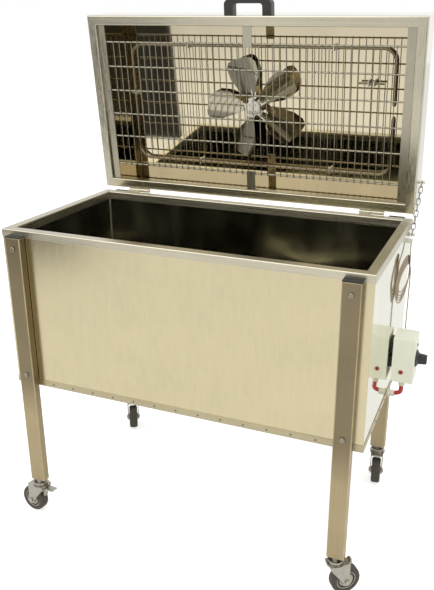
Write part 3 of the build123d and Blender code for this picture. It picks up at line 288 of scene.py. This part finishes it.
def relief(tree, value, strength, distance, under=None):
    node = tree.nodes.new("ShaderNodeBump")
    node.inputs["Strength"].default_value = strength
    node.inputs["Distance"].default_value = distance
    tree.links.new(value, node.inputs["Height"])
    if under is not None:
        tree.links.new(under, node.inputs["Normal"])
    return node.outputs["Normal"]


def axis_value(tree, axis):
    coords = tree.nodes.new("ShaderNodeTexCoord")
    split = tree.nodes.new("ShaderNodeSeparateXYZ")
    tree.links.new(coords.outputs["Object"], split.inputs["Vector"])
    return split.outputs[axis]


def join(tree, shader, colour, rough, normal):
    """Runs a finish's colour, roughness and relief into its shader."""
    for socket, value in (("Base Color", colour), ("Roughness", rough), ("Normal", normal)):
        tree.links.new(value, shader.inputs[socket])


def brushed(name, rgb, rough, pull, contrast=0.16, wave=0.0, frame_of=None, bite=0.06, spread=0.2):
    """Brushed or satin steel: fine scratches along the pull, slow smears, and waves in the sheet.
    frame_of is (axis, middle, half width, half height) of a mitred frame, whose side members are
    brushed the other way."""
    mat, tree, shader = new_finish(name, 1.0, rough)
    scratch = grain(tree, pull, 4.0, 0.6)
    if frame_of:
        axis, middle, half_x, half_v = frame_of
        turned = (pull[1], pull[0], pull[2]) if axis == "Y" else (pull[2], pull[1], pull[0])
        crossed = grain(tree, turned, 4.0, 0.6)
        out_x = maths(tree, "SUBTRACT", maths(tree, "ABSOLUTE", axis_value(tree, "X")), half_x)
        out_v = maths(tree, "SUBTRACT", axis_value(tree, axis), middle)
        out_v = maths(tree, "SUBTRACT", maths(tree, "ABSOLUTE", out_v), half_v)
        side = maths(tree, "GREATER_THAN", out_x, out_v)
        keep = maths(tree, "SUBTRACT", 1.0, side)
        scratch = maths(tree, "ADD", maths(tree, "MULTIPLY", scratch, keep),
                        maths(tree, "MULTIPLY", crossed, side))
    smear = grain(tree, (3.1, 3.1, 4.3), 4.0, 0.6, (7, 3, 1))
    blend = maths(tree, "ADD", maths(tree, "MULTIPLY", scratch, 0.45),
                  maths(tree, "MULTIPLY", smear, 0.55))
    colour = tone(tree, blend, [(0.34, shade(rgb, 1 - contrast)), (0.5, shade(rgb)),
                                (0.66, shade(rgb, 1 + contrast * 0.6))])
    gloss = span(tree, scratch, *mostly, rough * (1 - spread), rough * (1 + spread))
    normal = relief(tree, scratch, bite, scratch_deep)
    if wave:
        normal = relief(tree, grain(tree, (4.2, 4.2, 3.4), 1.5, 0.4, (2, 9, 4)), wave, wave_deep, normal)
    join(tree, shader, colour, gloss, normal)
    return mat


def polished(name, rgb, rough, wave):
    """Mirror sheet with slow waves, light wipe marks and dust."""
    mat, tree, shader = new_finish(name, 1.0, rough)
    wipe = grain(tree, (9, 9, 3), 5.0, 0.62, (1, 5, 2))
    dust = grain(tree, (60, 60, 60), 6.0, 0.7, (3, 1, 8))
    colour = tone(tree, wipe, [(0.3, shade(rgb, 0.93)), (0.55, shade(rgb)), (0.8, shade(rgb, 1.04))])
    marks = maths(tree, "ADD", span(tree, wipe, 0.45, 0.75, 0.0, wipe_haze),
                  span(tree, dust, 0.5, 0.8, 0.0, wipe_haze * 0.4))
    gloss = maths(tree, "ADD", maths(tree, "MULTIPLY", marks, rough), rough)
    normal = relief(tree, grain(tree, (3.3, 3.3, 2.6), 1.0, 0.35, (4, 4, 9)), wave, wave_deep)
    join(tree, shader, colour, gloss, normal)
    return mat


def leg_tube(name, rgb, node):
    """Brushed tube with painted shade beside the tank and painted light below it. A painted highlight,
    broken into patches, runs along its rounded corners and cut top."""
    mat = brushed(name, rgb, 0.36, (300, 300, 4), contrast=0.2)
    tree = mat.node_tree
    shader = tree.nodes["Principled BSDF"]
    low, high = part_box(node)
    near = []
    for i, axis in enumerate("XY"):
        middle, half = (low[i] + high[i]) / 2, (high[i] - low[i]) / 2
        out = maths(tree, "ABSOLUTE", maths(tree, "SUBTRACT", axis_value(tree, axis), middle))
        near.append(span(tree, out, half - leg_corner_highlight[0], half - leg_corner_highlight[1]))
    # Masks for a painted highlight along the tube's rounded corners and cut top, broken into patches by noise
    corner = maths(tree, "MULTIPLY", near[0], near[1])
    top = span(tree, axis_value(tree, "Z"), high[2] - leg_top_highlight[0], high[2] - leg_top_highlight[1])
    patchy = span(tree, grain(tree, (40, 40, 14), 4.0, 0.6, (6, 2, 3)), 0.3, 0.6, 0.45, 1.0)
    marked = maths(tree, "MULTIPLY", maths(tree, "MAXIMUM", corner, top), patchy)
    # Painted light and shade: the colour is scaled up below the tank's foot and scaled down beside the tank
    tank_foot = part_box("bottom_pan")[0][2]
    painted_light_and_shade = span(tree, axis_value(tree, "Z"), tank_foot + leg_shade_fade[0], tank_foot + leg_shade_fade[1],
                leg_lit_below, leg_shaded_beside)
    plain = tree.nodes.new("ShaderNodeVectorMath")
    plain.operation = "SCALE"
    tree.links.new(shader.inputs["Base Color"].links[0].from_socket, plain.inputs[0])
    tree.links.new(painted_light_and_shade, plain.inputs["Scale"])
    # Colour of the painted highlight laid over the corners and the top
    bright = tone(tree, patchy, [(0.0, shade(rgb, 1.6)), (1.0, shade(rgb, 1.9))])
    tree.links.new(mixed(tree, marked, plain.outputs["Vector"], bright), shader.inputs["Base Color"])
    return mat


def lined(name, rgb):
    """Bright lining with wavy walls, water marks and a ground weld down each corner."""
    mat, tree, shader = new_finish(name, 1.0, 0.08)
    marks = grain(tree, (5, 5, 2.4), 6.0, 0.66, (1, 5, 2))
    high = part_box("tank_liner")[1]
    out_x = maths(tree, "ABSOLUTE", axis_value(tree, "X"))
    out_y = maths(tree, "ABSOLUTE", axis_value(tree, "Y"))
    weld = maths(tree, "MULTIPLY", maths(tree, "GREATER_THAN", out_x, high[0] - weld_wide),
                 maths(tree, "GREATER_THAN", out_y, high[1] - weld_wide))
    plain = tone(tree, marks, [(0.32, shade(rgb, 0.8)), (0.52, shade(rgb)), (0.72, shade(rgb, 1.08))])
    ground = tone(tree, grain(tree, (200, 200, 60), 4.0, 0.6), [(0.3, shade(rgb, 0.6)), (0.7, shade(rgb))])
    marked = span(tree, marks, 0.42, 0.75, 0.06, 0.2)
    gloss = maths(tree, "ADD", marked, maths(tree, "MULTIPLY", weld, 0.3))
    normal = relief(tree, grain(tree, (3.4, 3.4, 2.4), 1.5, 0.4, (4, 4, 9)), 0.3, wave_deep)
    join(tree, shader, mixed(tree, weld, plain, ground), gloss, normal)
    return mat


def plated(name, rgb, rough, mottle=0.14):
    """Bright zinc or chrome with a faint mottle."""
    mat, tree, shader = new_finish(name, 1.0, rough)
    spot = grain(tree, (130, 130, 130), 5.0, 0.65)
    colour = tone(tree, spot, [(0.3, shade(rgb, 1 - mottle)), (0.7, shade(rgb, 1 + mottle * 0.5))])
    gloss = span(tree, spot, *mostly, rough * 0.8, rough * 1.3)
    join(tree, shader, colour, gloss, relief(tree, grain(tree, (420, 420, 420), 3.0), 0.05, plate_deep))
    return mat


def moulded(name, rgb, rough, pebble=900.0, depth=0.12, slow_tint=0.08):
    """Moulded plastic or rubber with a fine pebble and slow tints."""
    mat, tree, shader = new_finish(name, 0.0, rough)
    slow = grain(tree, (14, 14, 14), 4.0, 0.6, (5, 2, 7))
    colour = tone(tree, slow, [(0.3, shade(rgb, 1 - slow_tint)), (0.7, shade(rgb, 1 + slow_tint))])
    gloss = span(tree, slow, *mostly, rough * 0.88, rough * 1.14)
    normal = relief(tree, grain(tree, (pebble, pebble, pebble), 2.0), depth, scratch_deep)
    join(tree, shader, colour, gloss, normal)
    return mat


def wheel_nylon(name, node, pale, groove_shade):
    """Pale nylon with painted shade in the groove round the wheel's disc."""
    mat, tree, shader = new_finish(name, 0.0, 0.45)
    low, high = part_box(node)
    coords = tree.nodes.new("ShaderNodeTexCoord")
    reach = tree.nodes.new("ShaderNodeVectorMath")
    reach.operation = "DISTANCE"
    reach.inputs[1].default_value = [(a + b) / 2 for a, b in zip(low, high)]
    tree.links.new(coords.outputs["Object"], reach.inputs[0])
    # Noise that roughens the edge of the painted shade ring and varies the gloss
    nylon_noise = grain(tree, (60, 60, 60), 5.0, 0.6)
    far = maths(tree, "ADD", reach.outputs["Value"], span(tree, nylon_noise, *mostly, -shade_wobble, shade_wobble))
    # Painted shade: a dark ring of the groove colour between the two radii round the wheel's middle
    colour = tone(tree, span(tree, far, groove_from, groove_to),
                  [(0.0, shade(pale)), (0.42, shade(pale, 0.94)), (0.5, shade(groove_shade)), (0.66, shade(groove_shade)),
                   (0.72, shade(pale, 0.98)), (1.0, shade(pale))])
    gloss = span(tree, nylon_noise, *mostly, 0.4, 0.55)
    join(tree, shader, colour, gloss, relief(tree, grain(tree, (600, 600, 600), 2.0), 0.1, scratch_deep))
    return mat


def dress(mat, *names):
    for name in names:
        data = parts[name].data
        data.materials.clear()
        data.materials.append(mat)


# Small pieces and leads

def smooth_curve(name, points, diameter, body, mat):
    """One NURBS spline with the points as its controls, as a round tube that rides on a body."""
    data = bpy.data.curves.new(name, "CURVE")
    data.dimensions = "3D"
    data.bevel_depth = diameter / 2
    data.bevel_resolution = 4
    data.resolution_u = 6
    data.use_fill_caps = True
    line = data.splines.new("NURBS")
    line.points.add(len(points) - 1)
    for dot, p in zip(line.points, points):
        dot.co = (p[0], p[1], p[2], 1.0)
    line.order_u = 3
    line.use_endpoint_u = True
    data.materials.append(mat)
    piece = bpy.data.objects.new(name, data)
    bpy.context.scene.collection.objects.link(piece)
    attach(piece, body)
    return piece


def new_piece(name, bm, body, mat):
    data = bpy.data.meshes.new(name)
    bm.to_mesh(data)
    bm.free()
    for face in data.polygons:
        face.use_smooth = True
    data.materials.append(mat)
    piece = bpy.data.objects.new(name, data)
    bpy.context.scene.collection.objects.link(piece)
    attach(piece, body)
    return piece


def turned_head(bm, foot, out, along, profile):
    """Adds a head turned from a profile of (radius, height) pairs about the out axis, standing on foot."""
    across = out.cross(along)
    rings = []
    for radius, height in profile:
        ring = []
        for i in range(head_sides):
            a = 2 * math.pi * i / head_sides
            spoke = along * math.cos(a) + across * math.sin(a)
            ring.append(bm.verts.new(foot + out * height + spoke * radius))
        rings.append(ring)
    for low, high in zip(rings, rings[1:]):
        for i in range(head_sides):
            j = (i + 1) % head_sides
            bm.faces.new((low[i], low[j], high[j], high[i]))
    bm.faces.new(rings[0][::-1])
    bm.faces.new(rings[-1])


def coil_at(q, n, z):
    """A point q along the side, n off it and z up, in millimetres from the coil's left shoulder."""
    return coil_foot + coil_wide * (q / 1000) + coil_off * (n / 1000) + Vector((0, 0, z / 1000))


def quarter(a, b, first_flat):
    """Points of a quarter of an oval from a to b, leaving a level or upright, without the last."""
    out = []
    for i in range(arc_steps):
        t = math.pi / 2 * i / arc_steps
        s, c = math.sin(t), 1 - math.cos(t)
        fq, fz = (s, c) if first_flat else (c, s)
        out.append(coil_at(a[0] + (b[0] - a[0]) * fq, a[1] + (b[1] - a[1]) * i / arc_steps,
                           a[2] + (b[2] - a[2]) * fz))
    return out


class MELTER_OT_stage(bpy.types.Operator):
    """Camera, floor, backdrop light, cards and lamps"""
    bl_idname = "melter.stage"
    bl_label = "Stage"

    def execute(self, context):
        scene = context.scene
        yaw, pitch, roll = math.radians(camera_yaw), math.radians(camera_pitch), math.radians(camera_roll)
        ahead = Vector((-math.sin(yaw) * math.cos(pitch), math.cos(yaw) * math.cos(pitch), -math.sin(pitch)))
        right = Vector((math.cos(yaw), math.sin(yaw), 0))
        up = right.cross(ahead)
        level = right * math.cos(roll) + up * math.sin(roll)
        upright = up * math.cos(roll) - right * math.sin(roll)
        lens = bpy.data.cameras.new("camera")
        lens.lens = sizes().lens
        lens.sensor_width = film_wide
        lens.shift_x, lens.shift_y = camera_shift
        lens.clip_end = 100
        camera = bpy.data.objects.new("camera", lens)
        rows = [(level[i], upright[i], -ahead[i], camera_at[i]) for i in range(3)]
        camera.matrix_world = Matrix(rows + [(0, 0, 0, 1)])
        scene.collection.objects.link(camera)
        scene.camera = camera

        floor_data = bpy.data.meshes.new("floor")
        reach, z = floor_reach, floor_drop
        square = [(-reach, -reach, z), (reach, -reach, z), (reach, reach, z), (-reach, reach, z)]
        floor_data.from_pydata(square, [], [(0, 1, 2, 3)])
        floor = bpy.data.objects.new("floor", floor_data)
        scene.collection.objects.link(floor)
        mat, tree, shader = new_finish("pale_floor", 0.0, 0.9)
        shader.inputs["Base Color"].default_value = floor_paint
        shader.inputs["Specular IOR Level"].default_value = 0.0
        shader.inputs["Emission Color"].default_value = (1, 1, 1, 1)
        ray = tree.nodes.new("ShaderNodeLightPath")
        seen = maths(tree, "MULTIPLY", ray.outputs["Is Camera Ray"], floor_seen)
        shown = maths(tree, "MAXIMUM", ray.outputs["Is Glossy Ray"], ray.outputs["Is Transmission Ray"])
        seen = maths(tree, "MAXIMUM", seen, maths(tree, "MULTIPLY", shown, floor_mirrored))
        tree.links.new(seen, shader.inputs["Emission Strength"])
        floor_data.materials.append(mat)

        world = bpy.data.worlds.new("studio")
        scene.world = world
        world.use_nodes = True
        tree = world.node_tree
        sky = tree.nodes["Background"]
        sky.inputs["Color"].default_value = (1, 1, 1, 1)
        ray = tree.nodes.new("ShaderNodeLightPath")
        seen = maths(tree, "MAXIMUM", ray.outputs["Is Camera Ray"], ray.outputs["Is Glossy Ray"])
        seen = maths(tree, "MAXIMUM", seen, ray.outputs["Is Transmission Ray"])
        tree.links.new(span(tree, seen, 0.0, 1.0, world_light, world_seen), sky.inputs["Strength"])

        cloth, _, shader = new_finish("black_cloth", 0.0, 0.9)
        shader.inputs["Base Color"].default_value = card_black
        for name, x0, x1, y, high in cards:
            data = bpy.data.meshes.new(name)
            data.from_pydata([(x0, y, 0), (x1, y, 0), (x1, y, high), (x0, y, high)], [], [(0, 1, 2, 3)])
            data.materials.append(cloth)
            card = bpy.data.objects.new(name, data)
            card.visible_camera = False
            card.visible_diffuse = False
            card.visible_shadow = False
            scene.collection.objects.link(card)

        for name, place, size, power in lamps:
            data = bpy.data.lights.new(name, "AREA")
            data.energy = power
            data.size = size
            data.color = lamp_tint
            lamp = bpy.data.objects.new(name, data)
            lamp.location = place
            aim = lamp_aim - Vector(place)
            lamp.rotation_euler = aim.to_track_quat("-Z", "Y").to_euler()
            scene.collection.objects.link(lamp)
        scene.view_settings.view_transform = "Standard"
        return {"FINISHED"}


class MELTER_OT_sensor_lead(bpy.types.Operator):
    """Sensor lead with its loose coil on the side of the tank, and the tie round the turns"""
    bl_idname = "melter.sensor_lead"
    bl_label = "Sensor lead"

    def execute(self, context):
        size = sizes()
        side, rise = size.side_step * 1000, size.top_step * 1000
        right = (turn_right + side * (size.turns - 1), 0.0, turn_right_z)
        route = [boot_mouth, boot_fall, coil_at(*right) + coil_lead_in]
        for k in range(size.turns):
            j = size.turns - 1 - k
            drop = turn_drops[min(j, len(turn_drops) - 1)]
            low = (turn_low - turn_low_step * j, turn_apart * k + lean_low, -drop)
            left = (-side * j, turn_apart * k + lean_left, j + turn_left_z)
            top = (turn_top, turn_apart * k + lean_top, rise * j)
            after = (turn_right - side,) + turn_end
            if j:
                after = (turn_right + side * (j - 1), turn_apart * (k + 1), turn_right_z)
            route += quarter(right, low, False) + quarter(low, left, True)
            route += quarter(left, top, False) + quarter(top, after, True)
            right = after
        last = coil_at(*right)
        route += [last, Vector((box_foot.x, last.y, box_foot.z + box_bend)),
                  Vector((box_foot.x, last.y, box_foot.z)), box_foot]
        sheath = moulded("lead_sheath", colours().lead, 0.42, pebble=600, depth=0.1, slow_tint=0.12)
        lead = smooth_curve("sensor_cable", route, size.lead_d, "chest", sheath)
        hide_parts("sensor_coil", "sensor_lead_upper", "sensor_lead_lower")

        bm = bmesh.new()
        rows = []
        for along, grow in tie_widths:
            row = []
            for out, n in tie_section:
                out += grow * (1 if out > 0 else -1)
                n += grow * (1 if n > tie_inside else -1)
                row.append(bm.verts.new(coil_at(tie_q + tie_run * out + tie_rise * along, n,
                                                tie_z + tie_rise * out - tie_run * along)))
            rows.append(row)
        count = len(tie_section)
        for a, b in zip(rows, rows[1:]):
            for i in range(count):
                j = (i + 1) % count
                bm.faces.new((a[i], a[j], b[j], b[i]))
        band = moulded("tie_band", colours().tie, 0.6, pebble=400, depth=0.2, slow_tint=0.2)
        tie = new_piece("coil_tie", bm, "chest", band)
        tie.modifiers.new("band", "SOLIDIFY").thickness = tie_thick
        return {"FINISHED"}


class MELTER_OT_heater_lead(bpy.types.Operator):
    """Short red lead from the box's gland round into the tank's side"""
    bl_idname = "melter.heater_lead"
    bl_label = "Heater lead"

    def execute(self, context):
        mat = moulded("red_silicone", colours().red, 0.38, pebble=500, depth=0.08, slow_tint=0.1)
        lead = smooth_curve("red_lead", red_route, sizes().red_d, "chest", mat)
        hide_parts("heater_lead")
        return {"FINISHED"}


class MELTER_OT_tank(bpy.types.Operator):
    """Rim, sheets, pan and lining of the tank, and the wool in tank and lid"""
    bl_idname = "melter.tank"
    bl_label = "Tank"

    def execute(self, context):
        c = colours()
        dress(brushed("rim_steel", c.channel, 0.3, (5, 320, 320), contrast=0.2, frame_of=rim_opening),
              "tank_rim")
        satin = brushed("front_sheet", c.sheet, 0.22, (90, 90, 26), contrast=0.07, wave=0.02, bite=0.006,
                        spread=0.04)
        dress(satin, "front_panel")
        dress(polished("mirror_wrap", c.polish, 0.05, wave=0.05), "body_wrap")
        dress(brushed("pan_steel", tint(c.sheet, 0.76), 0.34, (4, 300, 300), contrast=0.14), "bottom_pan")
        dress(lined("tank_lining", c.lining), "tank_liner")
        dress(moulded("mineral_wool", c.wool, 0.95, pebble=300, depth=0.6, slow_tint=0.2),
              "chest_insulation", "lid_insulation")
        return {"FINISHED"}


class MELTER_OT_rivets(bpy.types.Operator):
    """Rivet heads along the pan's lip and the rim's inner lip"""
    bl_idname = "melter.rivets"
    bl_label = "Rivets"

    def execute(self, context):
        low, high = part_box("bottom_pan")
        wide, deep = high[0], high[1]
        height = low[2] + pan_rivet_up
        r = sizes().rivet_d / 2
        head = [(share * r, up) for share, up in head_outline]
        x_axis, y_axis = Vector((1, 0, 0)), Vector((0, 1, 0))
        bm = bmesh.new()
        for i in front_rivets:
            for s in (-1, 1):
                turned_head(bm, Vector((i * wide * front_pitch, s * deep, height)), y_axis * s, x_axis, head)
        for i in side_rivets:
            for s in (-1, 1):
                turned_head(bm, Vector((s * wide, i * deep * side_pitch, height)), x_axis * s, y_axis, head)
        for f in lip_rivets:
            for s in (-1, 1):
                turned_head(bm, Vector((f * lip_x, s * lip_y, lip_z)), y_axis * -s, x_axis, head)
        rivets = new_piece("rivet_heads", bm, "chest", plated("rivet_steel", tint(colours().zinc, 0.3), 0.35))
        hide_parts("shell_rivets")
        return {"FINISHED"}


class MELTER_OT_legs(bpy.types.Operator):
    """Legs with their plugs and bolts"""
    bl_idname = "melter.legs"
    bl_label = "Legs"

    def execute(self, context):
        c = colours()
        for k in corners:
            dress(leg_tube("leg_tube_" + k, c.leg, "leg_" + k), "leg_" + k)
        dress(moulded("plug_plastic", tint(c.black, 0.5), 0.6), "leg_plugs")
        dress(plated("bolt_zinc", tint(c.channel, 0.5), 0.24), "leg_bolts")
        return {"FINISHED"}


class MELTER_OT_castors(bpy.types.Operator):
    """Castor heads, forks, wheels, tyres and brake pedals"""
    bl_idname = "melter.castors"
    bl_label = "Castors"

    def execute(self, context):
        c = colours()
        zinc = plated("castor_zinc", tint(c.zinc, 0.72), 0.32, mottle=0.18)
        dress(zinc, "castor_heads", "brake_pedal_fl", "brake_pedal_fr",
              *["castor_fork_" + k for k in corners])
        for k in corners:
            wheel = "castor_wheel_" + k
            dress(wheel_nylon("wheel_nylon_" + k, wheel, c.nylon, c.groove_shade), wheel)
        dress(moulded("tyre_rubber", c.tyre, 0.62, pebble=500, depth=0.25, slow_tint=0.12),
              *["castor_tyre_" + k for k in corners])
        return {"FINISHED"}


class MELTER_OT_lid(bpy.types.Operator):
    """Lid box, frame, lining, handle, screws and hinges"""
    bl_idname = "melter.lid"
    bl_label = "Lid"

    def execute(self, context):
        c = colours()
        dress(polished("lid_box", c.polish, 0.07, wave=0.04), "lid_shell")
        dress(brushed("lid_frame_steel", c.channel, 0.26, (5, 320, 320), contrast=0.2, frame_of=lid_opening),
              "lid_frame")
        dress(polished("lid_lining", c.oven, 0.035, wave=0.06), "lid_liner")
        dress(moulded("handle_plastic", c.black, 0.38, pebble=700, depth=0.1), "lid_handle")
        dress(plated("screw_zinc", c.zinc, 0.24), "lid_screws", "chest_screws")
        dress(plated("hinge_steel", tint(c.channel, 0.95), 0.3), "hinge_leaves_chest", "hinge_leaves_lid")
        return {"FINISHED"}


class MELTER_OT_fan(bpy.types.Operator):
    """Fan, hub, motor and motor cover"""
    bl_idname = "melter.fan"
    bl_label = "Fan"

    def execute(self, context):
        c = colours()
        dress(polished("blade_sheet", c.blade, 0.12, wave=0.05), "fan_blades")
        dress(plated("hub_cast", tint(c.zinc, 1.05), 0.22, mottle=0.08), "fan_hub")
        dress(moulded("motor_paint", c.black, 0.4, pebble=300, depth=0.1), "fan_motor")
        dress(plated("cover_galvanised", c.cover, 0.38, mottle=0.2), "motor_cover")
        return {"FINISHED"}


class MELTER_OT_heater_guard(bpy.types.Operator):
    """Heater loop, clips, sensor bulb, guard rails and grille"""
    bl_idname = "melter.heater_guard"
    bl_label = "Heater and guard"

    def execute(self, context):
        c = colours()
        dress(plated("heater_tube", c.heater, 0.24, mottle=0.25), "heating_element")
        dress(plated("clip_steel", tint(c.zinc, 1.2), 0.4), "element_clips")
        dress(plated("bulb_steel", tint(c.heater, 0.9), 0.25, mottle=0.2), "sensor_bulb")
        dress(plated("guard_wire", tint(c.channel, 0.6), 0.2, mottle=0.12), "guard_grille")
        dress(brushed("guard_rail", tint(c.channel, 0.8), 0.3, (300, 300, 5)), "guard_rails")
        return {"FINISHED"}


class MELTER_OT_control_box(bpy.types.Operator):
    """Control box, cover, blocks, thermostat, knob, lamps, glands and boots"""
    bl_idname = "melter.control_box"
    bl_label = "Control box"

    def execute(self, context):
        c = colours()
        dress(moulded("box_moulding", c.box, 0.42, pebble=1400, depth=0.06, slow_tint=0.03),
              "control_box", "control_cover")
        dress(moulded("block_plastic", c.black, 0.5), "box_blocks", "thermostat")
        dress(moulded("knob_plastic", c.black, 0.3, pebble=500, depth=0.06), "thermostat_knob")
        dress(moulded("lamp_lens", tint(c.red, 0.7), 0.12, pebble=300, depth=0.02, slow_tint=0.1),
              "indicator_lamps")
        dress(moulded("gland_nylon", c.gland, 0.35, pebble=500, depth=0.05, slow_tint=0.05),
              "cable_glands", "lead_boots")
        return {"FINISHED"}


class MELTER_OT_chain(bpy.types.Operator):
    """Check chain between the tank and the lid"""
    bl_idname = "melter.chain"
    bl_label = "Chain"

    def execute(self, context):
        wire = plated("chain_wire", tint(colours().zinc, 0.5), 0.22, mottle=0.2)
        dress(wire, "chain_lower", "chain_upper")
        return {"FINISHED"}


makers = (MELTER_OT_stage, MELTER_OT_sensor_lead, MELTER_OT_heater_lead, MELTER_OT_tank, MELTER_OT_rivets,
          MELTER_OT_legs, MELTER_OT_castors, MELTER_OT_lid, MELTER_OT_fan, MELTER_OT_heater_guard,
          MELTER_OT_control_box, MELTER_OT_chain)


class MELTER_PT_sidebar(bpy.types.Panel):
    """Lists the makers of the melter's pieces and its sizes and colours"""
    bl_idname = "MELTER_PT_sidebar"
    bl_label = "Wax melter"
    bl_space_type = "VIEW_3D"
    bl_region_type = "UI"
    bl_category = "Melter"

    def draw(self, context):
        for maker in makers:
            self.layout.operator(maker.bl_idname)
        for group in (context.scene.melter_sizes, context.scene.melter_colours):
            for key in group.__annotations__:
                self.layout.prop(group, key)


classes = (MelterColours, MelterSizes) + makers + (MELTER_PT_sidebar,)


def register():
    for cls in classes:
        bpy.utils.register_class(cls)
    bpy.types.Scene.melter_colours = PointerProperty(type=MelterColours)
    bpy.types.Scene.melter_sizes = PointerProperty(type=MelterSizes)


def unregister():
    del bpy.types.Scene.melter_sizes
    del bpy.types.Scene.melter_colours
    for cls in reversed(classes):
        bpy.utils.unregister_class(cls)


def main():
    register()
    bpy.ops.melter.stage()
    bpy.ops.melter.sensor_lead()
    bpy.ops.melter.heater_lead()
    bpy.ops.melter.tank()
    bpy.ops.melter.rivets()
    bpy.ops.melter.legs()
    bpy.ops.melter.castors()
    bpy.ops.melter.lid()
    bpy.ops.melter.fan()
    bpy.ops.melter.heater_guard()
    bpy.ops.melter.control_box()
    bpy.ops.melter.chain()


if __name__ == "__main__":
    main()
